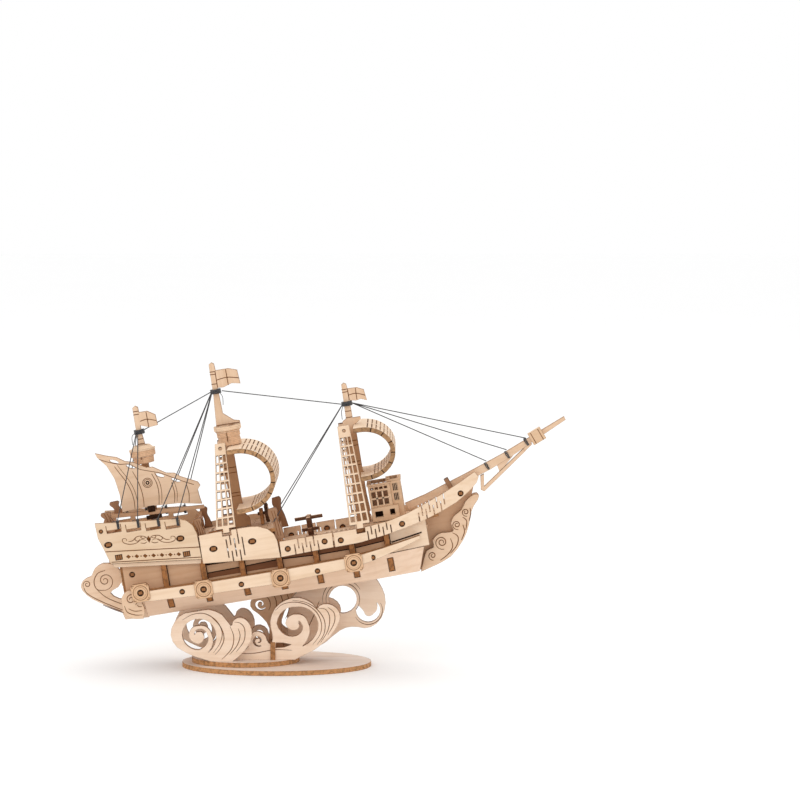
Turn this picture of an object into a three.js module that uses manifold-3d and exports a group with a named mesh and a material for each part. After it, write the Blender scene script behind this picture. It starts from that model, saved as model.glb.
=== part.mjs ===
// Laser-cut plywood sailing ship on a wave stand, press-fitted from flat sheets.
// Millimetres, +Z up. The bow points to +X and port is +Y. The origin is on the
// table, under the middle of the model's length.
import * as THREE from 'three';
import { mergeVertices } from 'three/addons/utils/BufferGeometryUtils.js';
import Module from 'manifold-3d';

const wasm = await Module();
wasm.setup();

// Sheets and clearances
const PLY = 2.0; // structural sheet
const THIN_PLY = 1.5; // planking sheet
const GAP = 0.3; // clearance kept between pieces of the tilted ship
const THREAD = 0.4; // rigging thread diameter

// How the ship sits on the stand
const BOW_UP_DEG = 9.3;
const SHIP_X = -21.5;
const SHIP_Z = 30.1;

// Stand
const BASE_X = -19.3;
const BASE_HALF_LENGTH = 39.3;
const BASE_HALF_WIDTH = 23.0;
const STEP_X = -32.2;
const STEP_HALF_LENGTH = 22.4;
const STEP_HALF_WIDTH = 15.5;
const STAND_TOP = 2 * PLY;

// Hull, in the ship's own frame: X along the keel, Z up from its underside
const BEAM = 20; // half breadth over the bulwarks
const BEAM_START_X = 38; // where the bow starts to draw in
const STEM_X = 93;
const STEM_HALF = 2.8;
const FRAME_X = [-40.3, -24.4, -8.5, 6.9, 22, 37, 51.5];
const KEEL_TOP = 14;
const SLOT_Z = 8; // height where keel and frames are halved together
const CHINE_LOW = { y: 8.5, z: 0.3 }; // lower edge of the lower planking
const CHINE_HIGH = { y: 16.8, z: 10.75 }; // upper edge of the lower planking
const INNER_SIDE = 16.5; // outer face of the upper planking
const DECK_HALF = 18.2;
const UPPER_DECK_Z = 28;
const WAIST_DECK_Z = 18.7;
const FORE_DECK_Z = 22;
const DECK_PLY = THIN_PLY;
const WALE_OUT = 22.3;

// Colours of the sheet faces and thread
const BIRCH = 0xe6c8a0;
const PALE = 0xf0dabc;
const TAN = 0xd2a878;
const DARK = 0x8a5f3c;
const BLACK = 0x1c1c1e;

const model = new THREE.Group();
const ship = new THREE.Group();
ship.position.set(SHIP_X, 0, SHIP_Z);
ship.rotation.y = -THREE.MathUtils.degToRad(BOW_UP_DEG);
model.add(ship);

function addMesh(parent, name, geometry, color, roughness = 0.72) {
  const material = new THREE.MeshStandardMaterial({ color, roughness, metalness: 0 });
  const mesh = new THREE.Mesh(geometry, material);
  mesh.name = name;
  parent.add(mesh);
  return mesh;
}

// ---- solids -------------------------------------------------------------

function solid(geometry) {
  const bare = geometry.clone();
  bare.deleteAttribute('normal');
  bare.deleteAttribute('uv');
  const merged = mergeVertices(bare, 1e-4);
  return new wasm.Manifold(new wasm.Mesh({
    numProp: 3,
    vertProperties: new Float32Array(merged.attributes.position.array),
    triVerts: new Uint32Array(merged.index.array),
  }));
}

function geometryOf(manifold) {
  const mesh = manifold.getMesh();
  const geometry = new THREE.BufferGeometry();
  geometry.setAttribute('position', new THREE.BufferAttribute(mesh.vertProperties, 3));
  geometry.setIndex(new THREE.BufferAttribute(mesh.triVerts, 1));
  geometry.computeVertexNormals();
  return geometry;
}

function cut(body, ...tools) {
  return geometryOf(tools.reduce((left, tool) => left.subtract(solid(tool)), solid(body)));
}

function join(first, ...others) {
  return geometryOf(others.reduce((sum, other) => sum.add(solid(other)), solid(first)));
}

function common(first, second) {
  return geometryOf(solid(first).intersect(solid(second)));
}

// ---- outlines -----------------------------------------------------------

const vectors = (points) => points.map(([x, y]) => new THREE.Vector2(x, y));

function polygon(points, holes = []) {
  const shape = new THREE.Shape(vectors(points));
  shape.holes = holes.map((hole) => new THREE.Path(vectors(hole)));
  return shape;
}

// A closed outline: straight feet, then a smooth crest through the points
function crest(feet, points, holes = []) {
  const curve = new THREE.SplineCurve(vectors(points));
  const smooth = curve.getPoints(points.length * 2).map((p) => [p.x, p.y]);
  return polygon([...feet, ...smooth], holes);
}

function ring(cx, cy, radius, sides = 12, ratio = 1, turn = 0) {
  const points = [];
  for (let i = 0; i < sides; i++) {
    const angle = (2 * Math.PI * i) / sides;
    const x = radius * Math.cos(angle);
    const y = radius * ratio * Math.sin(angle);
    points.push([cx + x * Math.cos(turn) - y * Math.sin(turn), cy + x * Math.sin(turn) + y * Math.cos(turn)]);
  }
  return points;
}

function rectangle(x0, y0, x1, y1) {
  return [[x0, y0], [x1, y0], [x1, y1], [x0, y1]];
}

// A band between two spirals, wound through stops of [angle, reach, width]
function swirl(cx, cy, stops) {
  const stepDeg = 15;
  const outer = [];
  const inner = [];
  const put = (list, deg, reach) => {
    const angle = THREE.MathUtils.degToRad(deg);
    list.push([cx + reach * Math.cos(angle), cy + reach * Math.sin(angle)]);
  };
  for (let i = 0; i + 1 < stops.length; i++) {
    const [from, to] = [stops[i], stops[i + 1]];
    const steps = Math.max(1, Math.round(Math.abs(to[0] - from[0]) / stepDeg));
    for (let k = i === 0 ? 0 : 1; k <= steps; k++) {
      const [deg, reach, width] = from.map((value, j) => value + ((to[j] - value) * k) / steps);
      put(outer, deg, reach);
      put(inner, deg, reach - width);
    }
  }
  return [...outer, ...inner.reverse()];
}

// A small curl of the same kind; hand -1 winds it the other way
function curl(cx, cy, radius, startDeg, hand) {
  const stops = [[0, 1, 0.12], [90, 0.86, 0.36], [180, 0.74, 0.36], [270, 0.6, 0.26], [390, 0.34, 0.1]];
  return swirl(cx, cy, stops.map(([deg, reach, width]) => {
    return [startDeg + hand * deg, radius * reach, radius * width];
  }));
}

// The crescent opening inside a curl
function crescent(cx, cy, radius) {
  const stops = [[-205, 0.94, 0.1], [-190, 0.98, 0.5], [-160, 1, 0.66], [-90, 1, 0.5], [-30, 1, 0.46],
    [10, 1, 0.24], [40, 0.98, 0.05]];
  return swirl(cx, cy, stops.map(([deg, reach, width]) => [deg, radius * reach, radius * width]));
}

// ---- plates -------------------------------------------------------------

// An extruded outline, with its holes cut right through
function extrude(shape, depth) {
  const over = 1;
  const bar = (outline, length) => new THREE.ExtrudeGeometry(outline, { depth: length, bevelEnabled: false });
  const tools = shape.holes.map((hole) => {
    return bar(new THREE.Shape(hole.getPoints()), depth + 2 * over).translate(0, 0, -over);
  });
  const body = bar(new THREE.Shape(shape.getPoints()), depth);
  return tools.length > 0 ? cut(body, ...tools) : body;
}

// A plate standing fore and aft, drawn in X and Z, from yLow to yLow + depth
function sidePlate(shape, yLow, depth) {
  return extrude(shape, depth).rotateX(Math.PI / 2).translate(0, yLow + depth, 0);
}

// A plate standing across the ship, drawn in Y and Z
function crossPlate(shape, xLow, depth) {
  return extrude(shape, depth).rotateX(Math.PI / 2).rotateZ(Math.PI / 2).translate(xLow, 0, 0);
}

// A level plate, drawn in X and Y
function levelPlate(shape, zLow, depth) {
  return extrude(shape, depth).translate(0, 0, zLow);
}

function block(x0, y0, z0, x1, y1, z1) {
  const box = new THREE.BoxGeometry(x1 - x0, y1 - y0, z1 - z0);
  return box.translate((x0 + x1) / 2, (y0 + y1) / 2, (z0 + z1) / 2);
}

// Two mirrored copies of a starboard plate: side -1 is starboard, +1 is port
const SIDES = [['stbd', -1], ['port', 1]];

function outsidePlate(shape, outerY, depth, side) {
  return sidePlate(shape, side < 0 ? -outerY : outerY - depth, depth);
}

// ---- hull form ----------------------------------------------------------

function halfBreadth(x) {
  if (x <= BEAM_START_X) return BEAM;
  const share = (x - BEAM_START_X) / (STEM_X - BEAM_START_X);
  return BEAM - (BEAM - STEM_HALF) * share ** 1.25;
}

// Share of the midship breadth that the planking keeps at x
function fullness(x) {
  const inset = BEAM - INNER_SIDE;
  return (halfBreadth(x) - inset) / INNER_SIDE;
}

function stations(x0, x1, count) {
  return Array.from({ length: count + 1 }, (_, i) => x0 + ((x1 - x0) * i) / count);
}

// A plate bent to the hull's plan: outline in X and Z, outer face inset from the bulwark
function bentPlate(shape, xs, inset, depth, side) {
  const outer = xs.map((x) => [x, side * (halfBreadth(x) - inset)]);
  const inner = xs.map((x) => [x, side * (halfBreadth(x) - inset - depth)]).reverse();
  const plan = levelPlate(polygon([...outer, ...inner]), -5, 60);
  return common(plan, sidePlate(shape, side < 0 ? -BEAM - 5 : 0, BEAM + 5));
}

// A solid skinned over sections that each hold the same number of [x, y, z] points
function loft(sections) {
  const area = THREE.ShapeUtils.area(sections[0].map(([, y, z]) => new THREE.Vector2(y, z)));
  const rings = area > 0 ? sections : sections.map((section) => [...section].reverse());
  const count = rings[0].length;
  const faces = [];
  for (let s = 0; s + 1 < rings.length; s++) {
    for (let i = 0; i < count; i++) {
      const a = s * count + i;
      const b = s * count + ((i + 1) % count);
      faces.push([a, b, a + count], [b, b + count, a + count]);
    }
  }
  const flat = rings[0].map(([, y, z]) => new THREE.Vector2(y, z));
  const last = (rings.length - 1) * count;
  for (const cap of THREE.ShapeUtils.triangulateShape(flat, [])) {
    const clockwise = THREE.ShapeUtils.isClockWise(cap.map((i) => flat[i]));
    const [a, b, c] = clockwise ? [...cap].reverse() : cap;
    faces.push([c, b, a], [a + last, b + last, c + last]);
  }
  const points = rings.flat().map((p) => new THREE.Vector3(...p));
  const geometry = new THREE.BufferGeometry().setFromPoints(points);
  geometry.setIndex(faces.flat());
  geometry.computeVertexNormals();
  return geometry;
}

// ---- stand --------------------------------------------------------------

function oval(x, halfLength, halfWidth, sides) {
  return polygon(ring(x, 0, halfLength, sides, halfWidth / halfLength));
}

addMesh(model, 'base_plate', levelPlate(oval(BASE_X, BASE_HALF_LENGTH, BASE_HALF_WIDTH, 48), 0, PLY), BIRCH);
addMesh(model, 'base_step', levelPlate(oval(STEP_X, STEP_HALF_LENGTH, STEP_HALF_WIDTH, 40), PLY, PLY), BIRCH);

// Everything above the underside of the keel, with a gap, in the stand's frame
function aboveKeel() {
  const slab = block(-90, -30, -GAP, 90, 30, 60);
  slab.rotateY(ship.rotation.y).translate(SHIP_X, 0, SHIP_Z);
  return slab;
}

// The open eyes of the two large waves
const AFT_EYE = [
  [-62, 8.4, 0.1], [0, 7.1, 1.8], [90, 6.5, 2.9], [180, 6.9, 2.8], [270, 6.4, 2.5],
  [360, 3.5, 1.6], [450, 2.3, 1.2],
  [540, 1.8, 0.2],
];
const FORE_EYE = [
  [-75, 9.9, 0.1], [-45, 9.5, 2.2], [0, 9.1, 4.2], [90, 6.9, 3.1], [180, 8.1, 3.6], [270, 5.2, 2.6],
  [360, 2.1, 1.2],
  [405, 1.5, 0.1],
];

const aftWave = crest(
  [[-37, STAND_TOP], [-46, STAND_TOP]],
  [[-53, 6.2], [-60, 10.1], [-62.4, 15.8], [-59.8, 21.7], [-54.5, 25], [-48.1, 25.9], [-41.6, 23.7],
    [-37.6, 18.8], [-36.6, 20.8], [-34.4, 22.3], [-31.4, 21.4], [-29.2, 18], [-29.2, 13.2], [-31.8, 8.7],
    [-35.6, 5]],
  [swirl(-50.8, 15.2, AFT_EYE)],
);

const foreWave = crest(
  [[-11.5, STAND_TOP], [-42, STAND_TOP]],
  [[-38, 6], [-33, 7.6], [-30.6, 9.6], [-30.4, 13.4], [-27.6, 15.9], [-24, 14.6], [-22.6, 11.4], [-21, 10.8],
    [-20.6, 14.2], [-21.6, 19.7], [-19.6, 25.4], [-15, 29], [-9.1, 29.9], [-4, 27.4], [-2.4, 25.2],
    [-0.6, 27], [3.2, 27.2], [6.6, 24.6], [7.1, 20.4], [3.3, 13.9], [-3, 8.4], [-8.5, 5.6]],
  [swirl(-10.8, 19.2, FORE_EYE), curl(-26.6, 12.0, 2.6, -60, -1),
    [[-19.4, 9], [-15.8, 9.2], [-12.8, 10.4], [-16.2, 11.2], [-19.2, 11.2]]],
);

const bowWave = crest(
  [[-8, STAND_TOP], [-14, STAND_TOP]],
  [[-15, 14], [-14, 26], [-8, 33], [0, 36], [10, 38], [19.6, 38], [24.6, 32], [26, 25.4], [23.6, 18.6],
    [18.6, 15.4], [12.6, 16], [7.4, 14.6], [1, 9.4]],
  [ring(8.2, 27.4, 5.8, 20), crescent(18.7, 22.9, 5.1)],
);

const middleWave = crest(
  [[-15, STAND_TOP], [-25, STAND_TOP]],
  [[-22.6, 10], [-22.4, 16.4], [-26, 21.2], [-29.9, 24.4], [-29.6, 28], [-26, 30.4], [-19, 33], [-12, 34],
    [-13.6, 27], [-17, 20], [-17, 11]],
  [curl(-26, 25.8, 2.7, -30, -1)],
);

for (const [tag, side] of SIDES) {
  addMesh(model, `wave_${tag}_aft`, cut(outsidePlate(aftWave, 12.2, PLY, side), aboveKeel()), PALE);
  addMesh(model, `wave_${tag}_fore`, cut(outsidePlate(foreWave, 8.6, PLY, side), aboveKeel()), PALE);
}
addMesh(model, 'wave_bow', cut(sidePlate(bowWave, 2.2, PLY), aboveKeel()), BIRCH);
addMesh(model, 'wave_middle', cut(sidePlate(middleWave, -PLY / 2, PLY), aboveKeel()), TAN);

// ---- hull skeleton ------------------------------------------------------

function keelOutline() {
  const slots = [...FRAME_X].reverse().flatMap((x) => {
    const half = PLY / 2 + GAP;
    const top = x > 45 ? 17.2 : KEEL_TOP;
    return [[x + half, top], [x + half, SLOT_Z - GAP], [x - half, SLOT_Z - GAP], [x - half, top]];
  });
  return polygon([
    [-51.2, 0], [62, 0], [70, 2.6], [76, 6.2], [81, 11.5], [85, 19], [88.4, 26.6], [90.4, 32],
    [84, 30], [77, 27.2], [70, 21.4], [60, 17.2], ...slots, [-51.2, KEEL_TOP],
  ]);
}
addMesh(ship, 'keel_plate', sidePlate(keelOutline(), -PLY / 2, PLY), TAN);

// The rib that shows between the wale and the bulwark
const RIB_TOP = 17.3;
const ribFoot = (x) => (x > 45 ? 15.2 : 14.2);

// Half outline of a frame: inside the planking, with two tabs that show through it
function frameOutline(x, top) {
  const narrow = fullness(x + PLY);
  const rib = ribFoot(x);
  const half = [
    [6.2, 0], [6.2, 1], [7.5, 2.9], [10.9, 2.9], [15.4, 8.6], [12.1, 8.6], [14.6, 11.7], [14.6, rib],
    [DECK_HALF, rib], [DECK_HALF, RIB_TOP], [14.6, RIB_TOP], [14.6, top],
  ].map(([y, z]) => [y * narrow, z]);
  const slot = [[PLY / 2 + GAP, SLOT_Z + GAP], [PLY / 2 + GAP, 0]];
  const mirrored = half.map(([y, z]) => [-y, z]).reverse();
  const slotMirrored = slot.map(([y, z]) => [-y, z]).reverse();
  return polygon([...slot, ...half, ...mirrored, ...slotMirrored]);
}

function frameTop(x) {
  if (x < 8) return UPPER_DECK_Z - GAP;
  if (x < 40) return WAIST_DECK_Z - GAP;
  return FORE_DECK_Z - GAP;
}

FRAME_X.forEach((x, i) => {
  const plate = crossPlate(frameOutline(x, frameTop(x)), x - PLY / 2, PLY);
  addMesh(ship, `hull_frame_${i + 1}`, plate, DARK);
});

// ---- planking -----------------------------------------------------------

function lowerPlanking(side) {
  const ends = [[-51, -51], [BEAM_START_X, BEAM_START_X], [45, 45.6], [52, 53], [58, 60], [62.6, 66]];
  const sections = ends.map(([lowX, highX]) => {
    const low = CHINE_LOW.y * fullness(lowX);
    const high = CHINE_HIGH.y * fullness(highX);
    const wall = PLY * 0.95;
    return [
      [lowX, side * low, CHINE_LOW.z],
      [highX, side * high, CHINE_HIGH.z],
      [highX, side * (high - wall), CHINE_HIGH.z],
      [lowX, side * (low - wall), CHINE_LOW.z],
    ];
  });
  const slots = FRAME_X.map((x) => {
    const half = PLY / 2 + GAP;
    return block(x - half, Math.min(0, side * 25), 2.6, x + half, Math.max(0, side * 25), 8.9);
  });
  return cut(loft(sections), ...slots);
}

function upperPlanking(side) {
  const slots = FRAME_X.map((x) => {
    const half = PLY / 2 + GAP;
    return rectangle(x - half, ribFoot(x) - GAP, x + half, RIB_TOP + GAP);
  });
  const outline = polygon(
    [[-57.2, 12.2], [67, 12.2], [69, 19.5], [58, 18.4], [-25.5, 18.4], [-25.5, 21.4], [-57.2, 25]],
    [...slots, ring(-53.6, 19.6, 1.2, 12)],
  );
  return bentPlate(outline, [-58, BEAM_START_X, ...stations(42, 70, 7)], BEAM - INNER_SIDE, THIN_PLY, side);
}

function waleSection(x, top, bottom, side) {
  const draw = x > BEAM_START_X ? (x - BEAM_START_X) * 0.1 : 0;
  const out = halfBreadth(x) + WALE_OUT - BEAM - draw;
  const inner = halfBreadth(x) - (BEAM - INNER_SIDE) + GAP;
  const face = 1.3;
  const shelf = Math.min(1.2, (top - bottom) * 0.8);
  return [
    [x, side * out, bottom],
    [x, side * out, top],
    [x, side * inner, top],
    [x, side * inner, top - shelf],
    [x, side * (out - face), top - shelf],
    [x, side * (out - face), bottom],
  ];
}

function wale(side) {
  const heights = [[-51.5, 12.8, 8.6], [-24.7, 12.3, 7.5], [6.8, 12.4, 7.2], [33, 12.9, 8.6], [41, 13.4, 9.4],
    [49, 14.1, 10.8], [57, 15.0, 12.6], [65, 16, 14.6]];
  return loft(heights.map(([x, top, bottom]) => waleSection(x, top, bottom, side)));
}

for (const [tag, side] of SIDES) {
  addMesh(ship, `lower_planking_${tag}`, lowerPlanking(side), BIRCH);
  addMesh(ship, `upper_planking_${tag}`, upperPlanking(side), TAN);
  addMesh(ship, `wale_${tag}`, wale(side), PALE);
}

// ---- bulwarks -----------------------------------------------------------

const PORT_HOLE = [1.25, 12];
const OVAL_HOLE = [1.7, 14, 0.75]; // wider than high
const KERF = 0.4;
const SLIT_PITCH = 1.6;

const sternSide = polygon(
  [[-64.7, 43.2], [-64.4, 36.9], [-62.8, 32.1], [-61, 25.9], [-24.1, 21.8], [-24.3, 32.4], [-25.4, 36],
    [-27.6, 38.4], [-30.6, 39.7]],
  [
    rectangle(-60.4, 38.3, -54.4, 39.5),
    rectangle(-52.4, 37.6, -46.4, 38.8),
    rectangle(-44.4, 36.9, -38.4, 38.1),
    rectangle(-36.4, 36.2, -30.4, 37.4),
    ring(-62.7, 39.6, 0.9, 10),
    ring(-60.7, 33.7, ...OVAL_HOLE),
    ring(-31.3, 31.6, ...OVAL_HOLE),
  ],
);

// Slits that let a sheet bend: cut in turn from its lower and its upper edge, past the middle
function slits(from, count, low, high) {
  return Array.from({ length: count }, (_, i) => {
    const x = from + i * SLIT_PITCH;
    const reach = (high(x) - low(x)) * 0.66;
    return i % 2 === 0 ? rectangle(x, low(x) - 1, x + KERF, low(x) + reach)
      : rectangle(x, high(x) - reach, x + KERF, high(x) + 1);
  });
}

const castleSide = polygon(
  [[-23.7, 31.5], [-23.9, 19.9], [7.7, 17.3], [7.5, 24.3], [6.7, 27.2], [4.4, 29.7], [0.6, 31.4], [-3, 31.8],
    [-10.4, 31.8], [-10.4, 29.6], [-14.2, 29.6], [-14.2, 31.8]],
  [
    ring(-18.7, 25.2, ...OVAL_HOLE),
    ring(-2.6, 25.7, ...OVAL_HOLE),
    ...[-13.2, -9.9, -6.6].map((x) => rectangle(x, 20.6, x + KERF, 28.2)),
    ...[-11.55, -8.25].flatMap((x) => [rectangle(x, 17, x + KERF, 23.2), rectangle(x, 25.6, x + KERF, 33)]),
  ],
);

const waistSide = polygon(
  [[8.1, 17.4], [29.7, 18], [30.1, 24], [8.3, 23.8]],
  [ring(11.2, 20.3, ...PORT_HOLE), ring(26.5, 20.9, ...PORT_HOLE), ...slits(14, 7, () => 17.7, () => 23.9)],
);

// Lower and upper edge of the bow bulwark: a sheer that sweeps up to the bowsprit
const BOW_LOW = [[30.4, 17.9], [41, 18.1], [52, 19.2], [60, 20.4], [68.4, 22], [76, 24.2], [82.1, 26.4],
  [88, 29.8], [91.6, 32.6], [92.8, 34.8]];
const BOW_HIGH = [[91.4, 37.2], [84, 33.9], [77.1, 31.1], [68.9, 28.4], [62, 26.2], [54, 24.6], [46, 24],
  [43.6, 24], [43.6, 21.8], [40, 21.8], [40, 23.9], [30.5, 23.8]];
const bowSide = polygon(
  [...BOW_LOW, ...BOW_HIGH],
  [ring(33.1, 20.3, ...PORT_HOLE), ring(58.7, 22.2, ...PORT_HOLE), ring(84.3, 29.6, ...PORT_HOLE),
    ...slits(44.2, 7, (x) => 18.4 + (x - 44) * 0.1, (x) => 24 + (x - 44) * 0.07),
    ...slits(65.8, 8, (x) => 21.4 + (x - 66) * 0.27, (x) => 27.4 + (x - 66) * 0.32)],
);

for (const [tag, side] of SIDES) {
  addMesh(ship, `stern_side_${tag}`, outsidePlate(sternSide, BEAM, THIN_PLY, side), PALE);
  addMesh(ship, `castle_side_${tag}`, outsidePlate(castleSide, BEAM, THIN_PLY, side), PALE);
  addMesh(ship, `waist_side_${tag}`, outsidePlate(waistSide, BEAM, THIN_PLY, side), PALE);
  const bow = bentPlate(bowSide, [30, BEAM_START_X, ...stations(42, 94, 13)], 0, THIN_PLY, side);
  addMesh(ship, `bow_side_${tag}`, bow, PALE);
}

// ---- decks and transom --------------------------------------------------

addMesh(ship, 'upper_deck',
  levelPlate(polygon(rectangle(-59.6, -DECK_HALF, 7.4, DECK_HALF)), UPPER_DECK_Z, DECK_PLY), TAN);

const CAPSTAN_X = 20.6;
const PEG_RADIUS = 1.2;
const waistDeck = polygon(
  rectangle(8.3, -DECK_HALF, 38.8, DECK_HALF),
  [ring(CAPSTAN_X, 0, PEG_RADIUS + GAP, 16)],
);
addMesh(ship, 'waist_deck', levelPlate(waistDeck, WAIST_DECK_Z, DECK_PLY), TAN);

function foreDeckOutline() {
  const xs = [39.2, 44, 50, 56, 62, 68, 74];
  const edge = xs.map((x) => [x, halfBreadth(x) - THIN_PLY - GAP]);
  return polygon([...edge, ...edge.map(([x, y]) => [x, -y]).reverse()]);
}
addMesh(ship, 'fore_deck', cut(levelPlate(foreDeckOutline(), FORE_DECK_Z, DECK_PLY),
  block(60, -PLY / 2 - GAP, FORE_DECK_Z - 1, 80, PLY / 2 + GAP, FORE_DECK_Z + 3)), TAN);

const transom = polygon(
  [
    [-DECK_HALF, 25.6], [DECK_HALF, 25.6], [DECK_HALF, 41], [13, 42.8], [0, 44.4], [-13, 42.8],
    [-DECK_HALF, 41],
  ],
  [rectangle(-11, 31, -6, 36), rectangle(-2.5, 31, 2.5, 36), rectangle(6, 31, 11, 36)],
);
addMesh(ship, 'transom', crossPlate(transom, -61.7, THIN_PLY), BIRCH);

// ---- carved scrolls at stem and stern -----------------------------------

const sternScroll = crest(
  [[-51.5, 8], [-51.5, -1.3], [-61.4, -0.6]],
  [[-62.4, 3.2], [-69, 6.9], [-74.3, 10.7], [-77.2, 14.8], [-76.6, 17.6], [-74.4, 19], [-72.2, 19.6],
    [-70.4, 22.4], [-66.4, 24.1], [-61.9, 22.4], [-59.8, 18.4], [-61.2, 13.8], [-65.6, 11.6], [-63, 8.6],
    [-57, 6.6]],
);
addMesh(ship, 'stern_scroll', sidePlate(sternScroll, -PLY / 2, PLY), BIRCH);

const bowScroll = crest(
  [[63, -0.4]],
  [[70, 1.5], [76.6, 4.2], [82.9, 10.6], [86.2, 17], [88, 22], [91.6, 26.4], [90.2, 28], [86.2, 26],
    [83.6, 22.4], [80.2, 20.4], [78.4, 17.4], [79, 14.4], [76.6, 14], [73.2, 14.2], [69.9, 12], [69.9, 8.9],
    [66.9, 8], [65.2, 5]],
);
for (const [tag, side] of SIDES) {
  addMesh(ship, `bow_scroll_${tag}`, outsidePlate(bowScroll, 3.0, 1.6, side), BIRCH);
}

// ---- bowsprit -----------------------------------------------------------

const bowsprit = polygon([
  [62, 25.8], [70, 27.9], [79, 30.6], [88, 33.4], [98, 36.8], [107, 40.5], [115.2, 44.4], [132, 52.2],
  [131.6, 53.6], [115.0, 46.9], [104, 42.4], [96, 39.6], [87, 36.5], [79, 33.9], [70, 30.9], [61, 28.6],
]);
addMesh(ship, 'bowsprit', sidePlate(bowsprit, -PLY / 2, PLY), BIRCH);

const strut = polygon([
  [93.6, 34.9], [92.9, 29], [94.2, 28.2], [113.6, 42], [112.6, 42.9], [94.4, 30.2], [95.2, 35.4],
]);
addMesh(ship, 'spritsail_strut', sidePlate(strut, -PLY / 2, PLY), BIRCH);

function collar() {
  const tilt = -Math.atan2(6.8, 16.8);
  const body = block(-2.9, -2.2, -2.6, 2.9, 2.2, 2.6);
  const way = block(-4, -PLY / 2 - GAP, -1.35, 4, PLY / 2 + GAP, 1.35);
  return cut(body, way).rotateY(tilt).translate(119.2, 0, 47.4);
}
addMesh(ship, 'bowsprit_collar', collar(), TAN);

// ---- masts --------------------------------------------------------------

// Mast plates carry a short flag at the truck, cut from the same sheet
const UPPER_FOOT = UPPER_DECK_Z + DECK_PLY + GAP;
const FORE_FOOT = FORE_DECK_Z + DECK_PLY + GAP;

const mainMast = polygon([
  [-11, UPPER_FOOT], [-3.4, UPPER_FOOT], [-3.4, 33], [-5.4, 35.6], [-5.4, 72.6], [-0.8, 72.6], [-0.8, 73.6],
  [-3.2, 74.2], [-7.2, 77.6], [-7.5, 88.4], [-5, 88.2], [-1.4, 89.4], [2.0, 88.7], [1.6, 94.4], [-2, 95.6],
  [-7.2, 95.6], [-7.4, 98.4], [-8.4, 99.1], [-9.5, 98.4], [-9.7, 86], [-10.7, 72.6], [-9.6, 72.6], [-9.6, 63],
  [-10.4, 62], [-10.4, 35.6],
]);
const foreMast = polygon([
  [40.4, FORE_FOOT], [46, FORE_FOOT], [46, 64.4], [48.6, 66.2], [48.6, 67.2], [45.4, 67.2], [45.3, 74.5],
  [48, 74], [50, 74.4], [52.4, 73.4], [51.8, 78], [49, 79.3], [45.2, 79.4], [45, 81.4], [44, 82], [43, 81.4],
  [42.6, 67.2], [41, 66.2], [41, 40], [40.4, 38],
]);
const mizzenMast = polygon([
  [-44.8, UPPER_FOOT], [-39.8, UPPER_FOOT], [-39.8, 36], [-40.7, 37.4], [-41, 70],
  [-41.6, 75], [-41.6, 78.2], [-38, 76.9], [-34.5, 77.2], [-34.8, 81.6], [-38, 83.6], [-41.3, 83.6],
  [-41.4, 85.8], [-42.5, 86.5],
  [-43.6, 85.8], [-43.7, 76], [-43.9, 70], [-43.9, 37.4], [-44.8, 36],
]);
addMesh(ship, 'main_mast', sidePlate(mainMast, -PLY / 2, PLY), BIRCH);
addMesh(ship, 'fore_mast', sidePlate(foreMast, -PLY / 2, PLY), BIRCH);
addMesh(ship, 'mizzen_mast', sidePlate(mizzenMast, -PLY / 2, PLY), BIRCH);

// Crow's nests: rings of stacked sheet around the mast head
function nest(profile, x, z) {
  const closed = [...profile, profile[0]].map(([r, h]) => new THREE.Vector2(r, h));
  return new THREE.LatheGeometry(closed, 12).rotateX(Math.PI / 2).rotateZ(Math.PI / 12).translate(x, 0, z);
}
const mainNest = nest(
  [[4.3, 0], [5.0, 0], [4.6, 3.2], [4.9, 3.6], [4.9, 5.4], [5.3, 5.8], [5.5, 7.8], [4.3, 7.8]], -6.3, 64.4);
const mizzenNest = nest(
  [[2.6, 0], [4.2, 0], [4.4, 2.6], [5.3, 3.0], [5.3, 5.4], [3.4, 7.4], [2.6, 7.4]], -42.6, 62.6);
addMesh(ship, 'main_nest', mainNest, TAN);
addMesh(ship, 'mizzen_nest', mizzenNest, TAN);

// ---- shrouds ------------------------------------------------------------

// A ladder plate, drawn upright from its foot, that leans in to the mast head
function shroud(foot, head, lean, length, rows, side) {
  const tabHalf = 1.3;
  const middle = (foot[0] + foot[1]) / 2;
  const at = (share, v) => {
    const left = foot[0] + ((head[0] - foot[0]) * v) / length;
    const right = foot[1] + ((head[1] - foot[1]) * v) / length;
    return [left + (right - left) * share, v];
  };
  const holes = [];
  const bar = 0.09;
  for (let row = 0; row < rows; row++) {
    const low = 1.2 + ((length - 5.4) * row) / rows;
    const high = 1.2 + ((length - 5.4) * (row + 1)) / rows - 0.8;
    for (let column = 0; column < 3; column++) {
      const a = bar + ((1 - bar) * column) / 3;
      const b = ((1 - bar) * (column + 1)) / 3;
      holes.push([at(a, low), at(b, low), at(b, high), at(a, high)]);
    }
  }
  holes.push(ring(...at(0.5, length - 2.2), 0.8, 8));
  const outline = [
    [foot[0], 0], [middle - tabHalf, 0], [middle - tabHalf, -1.8], [middle + tabHalf, -1.8],
    [middle + tabHalf, 0], [foot[1], 0], at(1, length), at(0, length),
  ];
  const plate = extrude(polygon(outline, holes), 1.2).translate(0, 0, -0.6).rotateX(Math.PI / 2);
  return plate.rotateX(side * lean);
}

function addShroud(name, foot, head, footY, footZ, headY, headZ, rows) {
  for (const [tag, side] of SIDES) {
    const run = footY - headY;
    const rise = headZ - footZ;
    const lean = Math.atan2(run, rise);
    const plate = shroud(foot, head, lean, Math.hypot(run, rise), rows, side);
    addMesh(ship, `${name}_${tag}`, plate.translate(0, side * footY, footZ), PALE);
  }
}
addShroud('main_shroud', [-16.3, -8.3], [-12, -7.8], 19.2, 32.4, 7.2, 66, 8);
addShroud('fore_shroud', [37.6, 45.9], [38.8, 43.6], 19.0, 25.4, 6.4, 65, 9);

// ---- sails --------------------------------------------------------------

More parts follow.
